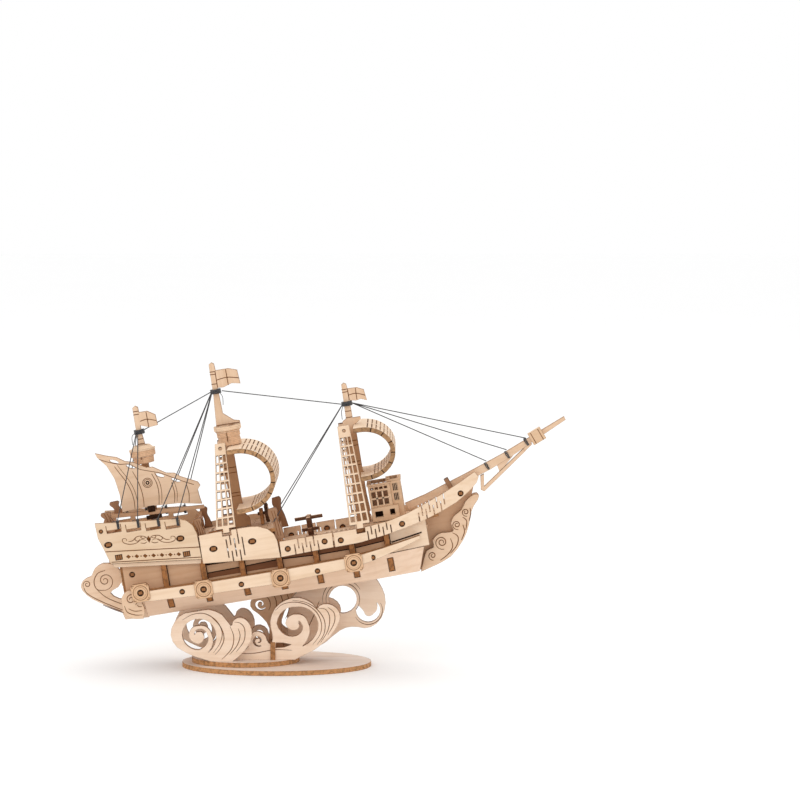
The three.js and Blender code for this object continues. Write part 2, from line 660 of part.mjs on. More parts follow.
// A sheet bent to a D, drawn as a band in X and Z, as wide as the yard. Both ends run back to the mast,
// whose plate stands in a slot in each of them.
function bentSail(x0, cx, cz, rx, rz, halfWidth, mastFront, lap) {
  const steps = 24;
  const start = Math.PI / 2 + Math.asin((cx - x0) / rx);
  const outer = [];
  const inner = [];
  for (let i = 0; i <= steps; i++) {
    const angle = start - (2 * start * i) / steps;
    outer.push([cx + (rx + 1) * Math.cos(angle), cz + (rz + 1) * Math.sin(angle)]);
    inner.unshift([cx + (rx - 1) * Math.cos(angle), cz + (rz - 1) * Math.sin(angle)]);
  }
  const legs = (list, x) => [[x, list[0][1]], ...list, [x, list[list.length - 1][1]]];
  const band = polygon([...legs(outer, mastFront - lap), ...legs(inner, mastFront - lap)]);
  const slot = block(mastFront - 3, -PLY / 2 - GAP, cz - rz - 3, mastFront + GAP, PLY / 2 + GAP, cz + rz + 3);
  return cut(sidePlate(band, -halfWidth, 2 * halfWidth), slot);
}
addMesh(ship, 'main_sail', bentSail(-3.9, -3.6, 50.8, 13.6, 12.3, 19.6, -5.4, 1.4), PALE);
addMesh(ship, 'fore_sail', bentSail(47.6, 47.8, 53.4, 12.2, 10.0, 17.8, 46, 0.7), PALE);

// The lateen mizzen sail hangs on the starboard side of its mast
const MIZZEN_SAIL_Y = -6.2;
const LENS = [[-54.2, 65.6], [-47.8, 62.5], [-36.6, 57.0], [-30.4, 54.0]];
const SAIL_SLOPE = Math.atan2(50.8 - 69, -21.1 + 60.7);
const mizzenSail = polygon(
  [[-61.4, 70.2], [-60.8, 68.4], [-57.6, 64.4], [-55.2, 58.6], [-54.2, 51.6], [-54.4, 44.4], [-47.9, 44.7],
    [-39.7, 44.9], [-31, 44.4], [-21.4, 42.6], [-21.9, 45.4], [-22.2, 48.6], [-20.9, 50.2], [-21.6, 51.8],
    [-28.4, 55.2], [-30.6, 57], [-34, 57.6], [-39, 60.9], [-41.6, 61.1], [-46.6, 64.1], [-50, 65.1],
    [-53, 67.2], [-57.4, 68.6]],
  LENS.map(([x, z]) => ring(x, z, 2.0, 10, 0.35, SAIL_SLOPE)),
);
addMesh(ship, 'mizzen_sail', sidePlate(mizzenSail, MIZZEN_SAIL_Y, THIN_PLY), BIRCH);

const boom = polygon([[-59.4, 42.6], [-40, 41.4], [-20.6, 40.6], [-20.8, 42.0], [-40, 43.2], [-59.2, 44.2]]);
addMesh(ship, 'mizzen_boom', sidePlate(boom, MIZZEN_SAIL_Y, THIN_PLY), TAN);

// ---- deck fittings ------------------------------------------------------

function rod(radius, length, sides = 16) {
  return new THREE.CylinderGeometry(radius, radius, length, sides).rotateX(Math.PI / 2);
}

// Capstan: a peg through the waist deck with two crossed pairs of bars
function capstan() {
  const low = WAIST_DECK_Z + 0.1;
  const high = 30;
  const post = rod(PEG_RADIUS, high - low).translate(0, 0, (low + high) / 2);
  const foot = rod(2.4, 1.2).translate(0, 0, WAIST_DECK_Z + DECK_PLY + GAP + 0.6);
  const bars = [[5.8, 28.4], [3.6, 23.6]].flatMap(([reach, z]) => [
    block(-reach, -0.9, z, reach, 0.9, z + 1.3),
    block(-0.9, -reach, z, 0.9, reach, z + 1.3),
  ]);
  return join(post, foot, ...bars).translate(CAPSTAN_X, 0, 0);
}
addMesh(ship, 'capstan', capstan(), DARK);

// Helm: a spoked wheel on an axle that turns in its stand
const HELM = { x: 3.2, z: 34.0, radius: 3.1, axle: 0.7 };

function helmWheel() {
  const outer = ring(0, 0, HELM.radius, 20);
  const rim = crossPlate(polygon(outer, [ring(0, 0, HELM.radius - 0.9, 20)]), 0, THIN_PLY);
  const spokes = [0, 1, 2, 3].map((i) => {
    const bar = block(0, -HELM.radius - 0.9, -0.35, THIN_PLY, HELM.radius + 0.9, 0.35);
    return bar.rotateX((Math.PI * i) / 4);
  });
  const axle = rod(HELM.axle, 4.6, 12).rotateY(Math.PI / 2).translate(-0.8, 0, 0);
  return join(rim, ...spokes, axle).translate(HELM.x, 0, HELM.z);
}
addMesh(ship, 'helm_wheel', helmWheel(), DARK);

const helmStand = polygon(
  [[-3.4, UPPER_FOOT], [3.4, UPPER_FOOT], [1.8, 32], [1.8, 35.6], [0, 36.2], [-1.8, 35.6], [-1.8, 32]],
  [ring(0, HELM.z, HELM.axle + GAP, 12)],
);
addMesh(ship, 'helm_stand', crossPlate(helmStand, 0.9, THIN_PLY), TAN);

// Deck house ahead of the fore mast: a plinth, a cabin and a taller box at its
// fore end, all open on top, with window openings through their walls
function foreHouse() {
  const wall = 1.2;
  const hull = (x0, x1, half, high) => block(x0, -half, FORE_FOOT, x1, half, high);
  const plinth = hull(47, 58.4, 8.6, 29.6);
  const cabin = hull(47, 56.2, 7.5, 38.6);
  const foreBox = hull(55, 60.6, 6.2, 39.4);
  const rooms = [
    block(47 + wall, -7.5 + wall, FORE_FOOT + wall, 55, 7.5 - wall, 41),
    block(56.2, -6.2 + wall, FORE_FOOT + wall, 60.6 - wall, 6.2 - wall, 41),
  ];
  const windows = [];
  for (let column = 0; column < 3; column++) {
    for (const z of [30.4, 33.6]) {
      const x = 48 + column * 2.5;
      windows.push(block(x, -20, z, x + 1.8, 20, z + 2.4));
    }
    const y = -4.4 + column * 3.2;
    windows.push(block(40, y, 31.2, 70, y + 2.2, 36.2));
  }
  for (let slot = 0; slot < 4; slot++) {
    const x = 47.9 + slot * 1.9;
    windows.push(block(x, -20, 36.9, x + 1.3, 20, 37.9));
  }
  windows.push(block(57.2, -20, 31.2, 59.2, 20, 34.2), block(57.2, -20, 35.2, 59.2, 20, 38.2));
  windows.push(block(48.4, -20, 25.6, 51.6, 20, 28), block(54.6, -20, 25.8, 56.6, 20, 28.2));
  return cut(join(plinth, cabin, foreBox), ...rooms, ...windows);
}
addMesh(ship, 'fore_house', foreHouse(), TAN);

// ---- rigging ------------------------------------------------------------

const KNOT = { inner: 1.75, outer: 2.25, height: 1.8 };
const MAIN_HEAD = new THREE.Vector3(-8.6, 0, 87);
const FORE_HEAD = new THREE.Vector3(44.0, 0, 73.3);
const MIZZEN_HEAD = new THREE.Vector3(-42.5, 0, 75.6);

// A straight 8-sided thread between two points
function thread(from, to) {
  const section = polygon(ring(0, 0, THREAD / 2, 8));
  const path = new THREE.LineCurve3(from, to);
  return new THREE.ExtrudeGeometry(section, { steps: 1, bevelEnabled: false, extrudePath: path });
}

// The wrap of thread around a mast head
function knot(head) {
  const low = -KNOT.height / 2;
  const high = KNOT.height / 2;
  const profile = [[KNOT.inner, low], [KNOT.outer, low], [KNOT.outer, high], [KNOT.inner, high],
    [KNOT.inner, low]].map(([r, h]) => new THREE.Vector2(r, h));
  return new THREE.LatheGeometry(profile, 12).rotateX(Math.PI / 2).translate(head.x, head.y, head.z);
}

// Where a thread leaves the wrap towards a point
function leave(head, target) {
  const middle = (KNOT.inner + KNOT.outer) / 2;
  const away = new THREE.Vector3(target.x - head.x, target.y - head.y, 0).setLength(middle);
  return head.clone().add(away);
}

function rigging(head, targets) {
  const threads = targets.map(([x, y, z]) => {
    const end = new THREE.Vector3(x, y, z);
    return thread(leave(head, end), end);
  });
  return join(knot(head), ...threads);
}

const bothSides = (points) => points.flatMap(([x, y, z]) => [[x, -y, z], [x, y, z]]);
addMesh(ship, 'mizzen_rigging', rigging(MIZZEN_HEAD, [
  ...bothSides([[-55.4, 19.25, 42.8], [-47.2, 19.25, 42]]),
]), BLACK);
addMesh(ship, 'main_rigging', rigging(MAIN_HEAD, [
  ...bothSides([[-39, 19.25, 41.1], [-31.2, 19.25, 40.1]]),
  [-40.4, 1.8, 76],
]), BLACK);
addMesh(ship, 'fore_rigging', rigging(FORE_HEAD, [
  ...bothSides([[7.2, 18.6, 32]]),
  [-6.1, 0.9, 86.8],
  [97, 0, 40.4],
  [106, 0, 43.7],
  [114.6, 0, 47.2],
]), BLACK);

export default model;
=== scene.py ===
"""Looks for the laser-cut plywood sailing ship: faces, scorched edges, engraving and fittings."""

import math

import bmesh
import bpy
from mathutils import Matrix, Vector
from mathutils.geometry import tessellate_polygon


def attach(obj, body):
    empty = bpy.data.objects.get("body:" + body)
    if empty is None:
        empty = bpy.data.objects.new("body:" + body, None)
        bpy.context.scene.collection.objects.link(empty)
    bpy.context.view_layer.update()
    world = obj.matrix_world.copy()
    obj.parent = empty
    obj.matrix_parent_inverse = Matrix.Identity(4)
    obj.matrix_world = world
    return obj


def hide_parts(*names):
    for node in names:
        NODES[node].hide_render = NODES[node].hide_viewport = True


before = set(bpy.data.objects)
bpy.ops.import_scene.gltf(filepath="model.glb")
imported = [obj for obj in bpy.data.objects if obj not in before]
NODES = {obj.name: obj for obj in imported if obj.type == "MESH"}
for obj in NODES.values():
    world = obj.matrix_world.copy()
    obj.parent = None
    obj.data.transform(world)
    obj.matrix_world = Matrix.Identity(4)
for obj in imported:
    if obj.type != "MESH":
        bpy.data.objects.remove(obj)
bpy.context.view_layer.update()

# The ship is drawn in millimetres along its own keel, then tilted onto the stand
MM = 0.001
BOW_UP = math.radians(9.3)
SHIP_AT = (-0.0215, 0.0, 0.0301)
SHIP = Matrix.Translation(SHIP_AT) @ Matrix.Rotation(-BOW_UP, 4, "Y") @ Matrix.Scale(MM, 4)
STAND = Matrix.Scale(MM, 4)
SIDES = (-1, 1)

# Hull form, as in the frame
BEAM = 20.0
BEAM_START_X = 38.0
STEM_X = 93.0
STEM_HALF = 2.8
WALE_PROUD = 2.3
PLANK_DEPTH = 3.5  # how far the planking stands inside the bulwark
SHEET = 1.5
MAST_HALF = 1.0  # half the thickness of a mast and of the stern scroll
UPPER_DECK_TOP = 29.5
WAIST_DECK_TOP = 20.2
FORE_DECK_TOP = 23.5
CUT = 0.04  # how far an engraved line stands on its face
SUNK = 0.06  # how far it reaches into the face
LINE_WIDTH = 0.34  # the usual width of an engraved line, and that of a finer one
FINE_WIDTH = 0.3


def half_breadth(x):
    if x <= BEAM_START_X:
        return BEAM
    share = (x - BEAM_START_X) / (STEM_X - BEAM_START_X)
    return BEAM - (BEAM - STEM_HALF) * share ** 1.25


# ---- camera ----

camera_data = bpy.data.cameras.new("camera")
camera_data.lens = 126.0
camera_data.sensor_width = 36.0
camera_data.clip_start = 0.01
camera = bpy.data.objects.new("camera", camera_data)
bpy.context.scene.collection.objects.link(camera)
camera.location = (0.032, -1.15, 0.22)
aim = Vector((0.032, 0.0, 0.111)) - camera.location
camera.rotation_euler = aim.to_track_quat("-Z", "Y").to_euler()
bpy.context.scene.camera = camera


# ---- materials ----

def srgb(red, green, blue):
    def linear(value):
        value /= 255
        return value / 12.92 if value <= 0.04045 else ((value + 0.055) / 1.055) ** 2.4
    return (linear(red), linear(green), linear(blue), 1.0)


PALE = srgb(238, 211, 183)
BIRCH = srgb(228, 196, 166)
TAN = srgb(206, 166, 132)
BROWN = srgb(176, 134, 98)
EDGE = srgb(182, 128, 80)
DARK_EDGE = srgb(96, 58, 32)
SCORCH = srgb(84, 48, 26)
BLACK = srgb(24, 24, 27)

SIDE_AXIS = (0, 1, 0)
CROSS_AXIS = (math.cos(BOW_UP), 0, math.sin(BOW_UP))
LEVEL_AXIS = (-math.sin(BOW_UP), 0, math.cos(BOW_UP))
# how closely the grain is packed along x, y and z
ALONG_KEEL = (0.05, 1.0, 1.0)
UPRIGHT = (1.0, 1.0, 0.05)
ACROSS = (1.0, 0.05, 1.0)
SCORCH_WIDTH = 0.42 * MM
MAST_TOP_STARTS = (60, 66)  # heights between which the painted shade on a mast's lower part gives way to its plain upper tone
PLY_WAVES = 9.4  # radians of light and dark per millimetre of a cut edge


class Tree:
    """Short names for building a node tree."""

    def __init__(self, name):
        self.material = bpy.data.materials.new(name)
        self.material.use_nodes = True
        self.tree = self.material.node_tree
        self.tree.nodes.clear()
        self.shader = self.add("BsdfPrincipled")
        output = self.add("OutputMaterial")
        self.link(self.shader.outputs["BSDF"], output.inputs["Surface"])

    def add(self, kind, **settings):
        node = self.tree.nodes.new("ShaderNode" + kind)
        for key, value in settings.items():
            setattr(node, key, value)
        return node

    def link(self, source, target):
        self.tree.links.new(source, target)

    def feed(self, value, socket):
        if isinstance(value, bpy.types.NodeSocket):
            self.link(value, socket)
        else:
            socket.default_value = value

    def math(self, operation, *values):
        node = self.add("Math", operation=operation)
        for value, socket in zip(values, node.inputs):
            self.feed(value, socket)
        return node.outputs[0]

    def ramp(self, value, low, high, out_low=0.0, out_high=1.0):
        node = self.add("MapRange", interpolation_type="SMOOTHSTEP")
        for item, socket in zip((value, low, high, out_low, out_high), node.inputs):
            self.feed(item, socket)
        return node.outputs[0]

    def mix(self, factor, first, second, blend="MIX"):
        node = self.add("Mix", data_type="RGBA", blend_type=blend)
        for value, slot in ((factor, 0), (first, 6), (second, 7)):
            self.feed(value, node.inputs[slot])
        return node.outputs[2]

    def noise(self, vector, scale, detail=3.0, rough=0.55):
        node = self.add("TexNoise")
        self.link(vector, node.inputs["Vector"])
        node.inputs["Scale"].default_value = scale
        node.inputs["Detail"].default_value = detail
        node.inputs["Roughness"].default_value = rough
        return node.outputs["Fac"]

    def stretch(self, vector, scale):
        node = self.add("Mapping")
        self.link(vector, node.inputs["Vector"])
        node.inputs["Scale"].default_value = scale
        return node.outputs["Vector"]

    def dot(self, first, second):
        node = self.add("VectorMath", operation="DOT_PRODUCT")
        self.feed(first, node.inputs[0])
        self.feed(second, node.inputs[1])
        return node.outputs["Value"]

    def ship_mm(self, tilted=True):
        coords = self.add("TexCoord").outputs["Object"]
        node = self.add("Mapping", vector_type="TEXTURE")
        self.link(coords, node.inputs["Vector"])
        node.inputs["Location"].default_value = SHIP_AT
        node.inputs["Rotation"].default_value = (0, -BOW_UP if tilted else 0, 0)
        node.inputs["Scale"].default_value = (MM, MM, MM)
        return node.outputs["Vector"]


def plywood(name, face, edge=EDGE, axis=SIDE_AXIS, grain=ALONG_KEEL, tilted=True, outline=0.75,
            lower_mast_shade=None, rolled=False, char=0.8):
    """Birch ply: streaked faces, brown laser-cut edges in plies, and a scorched outline.

    axis is square to the sheet's face, and None for a box of several sheets. The tone given for below the
    mast tops is painted shade. A rolled sheet shows its cut edges along axis instead. char is how far the
    laser darkens the cut.
    """
    tree = Tree(name)
    place = tree.ship_mm(tilted)
    normal = tree.add("NewGeometry").outputs["True Normal"]

    # long soft streaks, fine fibres and short pores along the grain
    along = tree.stretch(place, grain)
    streak = tree.noise(along, 0.55, 4.0)
    fibre = tree.noise(along, 4.5, 5.0, 0.7)
    pores = tree.noise(tree.stretch(place, tuple(2.4 * g ** 0.6 for g in grain)), 2.2, 2.0)
    mottle = tree.noise(place, 0.09, 2.0)
    # painted shade: below the tops the masts turn to a darker tone
    if lower_mast_shade:
        split = tree.add("SeparateXYZ")
        tree.link(place, split.inputs["Vector"])
        face = tree.mix(tree.ramp(split.outputs["Z"], *MAST_TOP_STARTS), lower_mast_shade, face)
    deep = tree.mix(1.0, face, (0.80, 0.70, 0.58, 1.0), "MULTIPLY")
    faces = face
    for pattern, low, high, strength in ((streak, 0.42, 0.72, 0.42), (fibre, 0.5, 0.78, 0.3),
                                         (pores, 0.64, 0.72, 0.35), (mottle, 0.35, 0.7, 0.22)):
        faces = tree.mix(tree.ramp(pattern, low, high, 0.0, strength), faces, deep)

    # the laser browns the cut unevenly, darker where it dwelt
    burn = tree.noise(place, 0.8, 4.0)
    dark = tuple(c * 0.42 for c in edge[:3]) + (1.0,)
    edges = tree.mix(tree.ramp(burn, 0.4, 0.68, 0.0, char), edge, dark)
    colour = faces
    if axis:
        depth = tree.dot(place, axis_in_ship(axis, tilted))
        plies = tree.math("SINE", tree.math("MULTIPLY", depth, PLY_WAVES))
        edges = tree.mix(tree.ramp(plies, 0.2, 0.9, 0.0, 0.4), edges, dark)
        ends = (1.0, 0.0) if rolled else (0.0, 1.0)
        flat = tree.ramp(tree.math("ABSOLUTE", tree.dot(normal, axis)), 0.5, 0.72, *ends)
        colour = tree.mix(flat, edges, faces)

    # a thin scorched line wherever a face meets a cut
    rounded = tree.add("Bevel", samples=6)
    rounded.inputs["Radius"].default_value = SCORCH_WIDTH
    corner = tree.math("SUBTRACT", 1.0, tree.dot(rounded.outputs["Normal"], normal))
    uneven = tree.ramp(tree.noise(place, 0.35, 2.0), 0.3, 0.7, 0.6, 1.0)
    line = tree.math("MULTIPLY", tree.ramp(corner, 0.02, 0.2, 0.0, outline), uneven)
    colour = tree.mix(line, colour, SCORCH)
    tree.link(colour, tree.shader.inputs["Base Color"])

    rough = tree.ramp(fibre, 0.3, 0.7, 0.58, 0.72)
    tree.link(rough, tree.shader.inputs["Roughness"])
    tree.shader.inputs["Specular IOR Level"].default_value = 0.3
    bump = tree.add("Bump")
    bump.inputs["Strength"].default_value = 0.35
    bump.inputs["Distance"].default_value = 0.00006
    height = tree.math("ADD", tree.math("MULTIPLY", fibre, 0.6), tree.math("MULTIPLY", burn, 0.4))
    tree.link(height, bump.inputs["Height"])
    tree.link(bump.outputs["Normal"], tree.shader.inputs["Normal"])
    return tree.material


def axis_in_ship(axis, tilted):
    turned = Matrix.Rotation(BOW_UP, 3, "Y") @ Vector(axis) if tilted else Vector(axis)
    return tuple(turned)


def scorched(name, colour, light):
    """A laser-engraved line: brown, uneven and matt."""
    tree = Tree(name)
    place = tree.ship_mm()
    burn = tree.noise(place, 1.1, 4.0)
    tree.link(tree.mix(tree.ramp(burn, 0.35, 0.7), colour, light), tree.shader.inputs["Base Color"])
    tree.link(tree.ramp(burn, 0.3, 0.7, 0.75, 0.95), tree.shader.inputs["Roughness"])
    tree.shader.inputs["Specular IOR Level"].default_value = 0.15
    return tree.material


def thread_material():
    """Black waxed thread with its twist."""
    tree = Tree("black_thread")
    place = tree.ship_mm()
    wave = tree.add("TexWave", wave_type="BANDS", bands_direction="DIAGONAL")
    tree.link(place, wave.inputs["Vector"])
    wave.inputs["Scale"].default_value = 1.6
    wave.inputs["Distortion"].default_value = 0.8
    tree.link(tree.mix(wave.outputs["Fac"], BLACK, srgb(58, 57, 60)), tree.shader.inputs["Base Color"])
    tree.link(tree.ramp(wave.outputs["Fac"], 0, 1, 0.45, 0.7), tree.shader.inputs["Roughness"])
    tree.shader.inputs["Sheen Weight"].default_value = 0.3
    bump = tree.add("Bump")
    bump.inputs["Strength"].default_value = 0.6
    bump.inputs["Distance"].default_value = 0.0001
    tree.link(wave.outputs["Fac"], bump.inputs["Height"])
    tree.link(bump.outputs["Normal"], tree.shader.inputs["Normal"])
    return tree.material


PLYWOODS = {
    "side_pale": dict(face=PALE),
    "side_birch": dict(face=BIRCH),
    # side_tan is birch darkened as painted shade, for the keel and the planking under the overhang; the
    # mizzen boom shares it
    "side_tan": dict(face=TAN),
    # the masts are painted darker below their tops, as shade
    "mast": dict(face=BIRCH, grain=UPRIGHT, lower_mast_shade=BROWN),
    "ladder": dict(face=PALE, edge=DARK_EDGE, grain=UPRIGHT),
    "wave": dict(face=srgb(246, 221, 198), tilted=False),
    # the middle wave stands behind the outer ones; its darker tan is painted shade
    "wave_middle": dict(face=TAN, tilted=False),
    "base": dict(face=srgb(240, 224, 212), edge=srgb(206, 150, 98), axis=(0, 0, 1), tilted=False),
    "stand_cross": dict(face=BROWN, axis=(1, 0, 0), grain=UPRIGHT, tilted=False),
    "cross": dict(face=TAN, axis=CROSS_AXIS, grain=ACROSS),
    "rib": dict(face=TAN, edge=srgb(170, 112, 62), axis=CROSS_AXIS, grain=ACROSS),
    "deck": dict(face=BIRCH, axis=LEVEL_AXIS),
    "stack": dict(face=PALE, edge=srgb(226, 182, 144), axis=LEVEL_AXIS, char=0.3),
    "rim": dict(face=PALE, edge=srgb(240, 206, 172), axis=LEVEL_AXIS, char=0.2),
    "bars": dict(face=TAN, edge=srgb(104, 66, 40), axis=LEVEL_AXIS, char=0.5),
    "wheel": dict(face=TAN, edge=srgb(88, 56, 34), axis=CROSS_AXIS, char=0.5),
    "bracket": dict(face=srgb(158, 118, 88), edge=DARK_EDGE, grain=UPRIGHT),
    "planking": dict(face=srgb(238, 208, 182)),
    "scroll": dict(face=srgb(236, 206, 178)),
    "stern_side": dict(face=srgb(224, 196, 166)),
    # painted shade: dark brown standing for the shade in the bays of the hull under the bulwark
    "painted_shade": dict(face=srgb(122, 76, 44), edge=DARK_EDGE),
    "house": dict(face=srgb(222, 188, 154), axis=None),
    "boss": dict(face=srgb(222, 183, 146), edge=srgb(150, 98, 56)),
    "peg": dict(face=srgb(150, 100, 58), edge=DARK_EDGE),
    "sail": dict(face=PALE, edge=srgb(184, 140, 98), grain=ACROSS, outline=0.9, rolled=True),
}
MATERIALS = {
    "line": scorched("engraved_line", srgb(128, 82, 46), srgb(88, 52, 28)),
    "fine": scorched("engraved_fine", srgb(176, 132, 90), srgb(134, 92, 56)),
    "pit": scorched("burnt_hole", srgb(58, 34, 20), srgb(34, 20, 12)),
    "thread": thread_material(),
}
for name, look in PLYWOODS.items():
    MATERIALS[name] = plywood("ply_" + name, **look)

# The nodes that each material is for, by the start of their names; the longest match counts
DRESS = {
    "base": ["base_"],
    "wave": ["wave_stbd", "wave_port", "wave_bow"],
    "wave_middle": ["wave_middle"],
    "rib": ["hull_frame"],
    "planking": ["lower_planking"],
    # the keel and the upper planking carry the painted shade of side_tan
    "side_tan": ["keel", "upper_planking", "mizzen_boom"],
    "side_pale": ["wale", "castle_side", "waist_side", "bow_side", "main_sail", "fore_sail"],
    "side_birch": ["bow_scroll", "bowsprit", "spritsail_strut", "mizzen_sail"],
    "stern_side": ["stern_side"],
    "scroll": ["stern_scroll"],
    "deck": ["upper_deck", "waist_deck", "fore_deck"],
    "cross": ["transom", "helm_stand"],
    "house": ["fore_house", "bowsprit_collar"],
    "mast": ["main_mast", "fore_mast", "mizzen_mast"],
    "stack": ["main_nest", "mizzen_nest"],
    "ladder": ["main_shroud", "fore_shroud"],
    "bars": ["capstan"],
    "wheel": ["helm_wheel"],
    "thread": ["main_rigging", "fore_rigging", "mizzen_rigging"],
}


def dress_nodes():
    material_of = {start: key for key, starts in DRESS.items() for start in starts}
    for name, node in NODES.items():
        start = max((start for start in material_of if name.startswith(start)), key=len)
        node.data.materials.clear()
        node.data.materials.append(MATERIALS[material_of[start]])
        for face in node.data.polygons:
            face.use_smooth = False


dress_nodes()


# ---- shapes ----

THREAD_SIDES = 6
PLANES = {
    "side": lambda u, v, w: (u, w, v),
    "cross": lambda u, v, w: (w, u, v),
    "level": lambda u, v, w: (u, v, w),
}


class Piece:
    """Flat-cut shapes, engraved strokes and threads gathered into one mesh, in millimetres."""

    def __init__(self, name, material, slot, place=SHIP, body="ship"):
        self.name, self.material, self.slot = name, material, slot
        self.place, self.body = place, body
        self.mesh = bmesh.new()

    def point(self, plane, u, v, w):
        return self.mesh.verts.new(self.place @ Vector(PLANES[plane](u, v, w)))

    def face(self, verts):
        self.mesh.faces.new(verts)

    def plate(self, outline, low, high, plane="side", holes=()):
        loops = [outline, *holes]
        flat = [p for loop in loops for p in loop]
        caps = tessellate_polygon([[Vector((u, v, 0)) for u, v in loop] for loop in loops])
        under = [self.point(plane, u, v, low) for u, v in flat]
        over = [self.point(plane, u, v, high) for u, v in flat]
        for a, b, c in caps:
            self.face((under[a], under[b], under[c]))
            self.face((over[c], over[b], over[a]))
        start = 0
        for loop in loops:
            count = len(loop)
            for i in range(count):
                a, b = start + i, start + (i + 1) % count
                self.face((under[a], under[b], over[b], over[a]))
            start += count

    def stroke(self, points, width, low, high, plane="side", taper=0.0):
        count = len(points)
        rows = []
        for i, (u, v) in enumerate(points):
            before = points[max(i - 1, 0)]
            after = points[min(i + 1, count - 1)]
            run = Vector((after[0] - before[0], after[1] - before[1])).normalized()
            share = math.sin(math.pi * (i + 0.5) / count) if taper else 1.0
            half = width / 2 * (1 - taper + taper * share)
            left = (u - run.y * half, v + run.x * half)
            right = (u + run.y * half, v - run.x * half)
            rows.append([self.point(plane, *left, low), self.point(plane, *right, low),
                         self.point(plane, *right, high), self.point(plane, *left, high)])
        self.tube(rows)

    def tube(self, rows, capped=True):
        around = len(rows[0])
        for first, second in zip(rows, rows[1:]):
            for i in range(around):
                j = (i + 1) % around
                self.face((first[i], first[j], second[j], second[i]))
        if capped:
            self.face(list(reversed(rows[0])))
            self.face(rows[-1])

    def strokes(self, lines, width, low, high, plane="side", taper=0.0):
        for points in lines:
            self.stroke(points, width, low, high, plane, taper)

    def cord(self, points, radius, closed=False):
        """A round thread along points in the piece's own frame."""
        path = [Vector(p) for p in points]
        rows = []
        for i, at in enumerate(path):
            before = path[i - 1] if i or closed else at
            after = path[(i + 1) % len(path)] if i + 1 < len(path) or closed else at
            run = (after - before).normalized()
            across = across - run * across.dot(run) if rows else run.orthogonal()
            across.normalize()
            up = run.cross(across)
            ring = []
            for k in range(THREAD_SIDES):
                angle = 2 * math.pi * k / THREAD_SIDES
                out = across * math.cos(angle) + up * math.sin(angle)
                ring.append(self.mesh.verts.new(self.place @ (at + radius * out)))
            rows.append(ring)
        self.tube(rows + [rows[0]] if closed else rows, capped=not closed)

    def done(self, replaces=()):
        bmesh.ops.recalc_face_normals(self.mesh, faces=self.mesh.faces)
        data = bpy.data.meshes.new(self.name)
        self.mesh.to_mesh(data)
        self.mesh.free()
        data.materials.append(MATERIALS[self.material])
        for face in data.polygons:
            face.use_smooth = False
        thing = bpy.data.objects.new(self.name, data)
        bpy.context.scene.collection.objects.link(thing)
        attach(thing, self.body)
        if replaces:
            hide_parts(*replaces)


def circle(cx, cy, radius, sides=24, ratio=1.0):
    return [(cx + radius * math.cos(2 * math.pi * i / sides),
             cy + radius * ratio * math.sin(2 * math.pi * i / sides)) for i in range(sides)]


def closed(points):
    return points + points[:1]


def rectangle(u0, v0, u1, v1):
    return [(u0, v0), (u1, v0), (u1, v1), (u0, v1)]


def arc(cx, cy, radius, start, end, steps=16):
    points = []
    for i in range(steps + 1):
        angle = math.radians(start + (end - start) * i / steps)
        points.append((cx + radius * math.cos(angle), cy + radius * math.sin(angle)))
    return points


def spiral(cx, cy, outer, inner, start, turns, steps=30):
    points = []
    for i in range(steps + 1):
        share = i / steps
        radius = outer * (inner / outer) ** share
        angle = math.radians(start) + 2 * math.pi * turns * share
        points.append((cx + radius * math.cos(angle), cy + radius * math.sin(angle)))
    return points


def smooth(points, per=5):
    """A curve through the points."""
    path = []
    count = len(points)
    for i in range(count - 1):
        p0, p1 = Vector(points[max(i - 1, 0)]), Vector(points[i])
        p2, p3 = Vector(points[i + 1]), Vector(points[min(i + 2, count - 1)])
        for k in range(per):
            share = k / per
            bend = (2 * p0 - 5 * p1 + 4 * p2 - p3) * share * share
            twist = (3 * p1 - p0 - 3 * p2 + p3) * share ** 3
            path.append(tuple(0.5 * (2 * p1 + (p2 - p0) * share + bend + twist)))
    return path + [tuple(points[-1])]


def shift(points, du, dv):
    return [(u + du, v + dv) for u, v in points]


def skin(outer, side=1):
    """Low and high depth of an engraved line on the outboard face that lies outer from the middle."""
    return side * (outer - SUNK), side * (outer + CUT)


def two_skins(near, far):
    """The depths of an engraved line on each face of a sheet that lies between near and far."""
    return (near - CUT, near + SUNK), skin(far)


# ---- bent sails ----

SLIT = 0.22  # share of a segment that a cut takes
TAB_INNER = 0.07  # the cuts run from here to TAB_OUTER, as shares of the half width
TAB_OUTER = 0.93
SAIL_HALF = SHEET / 2 + 0.2
MAST_CLEARANCE = 0.3


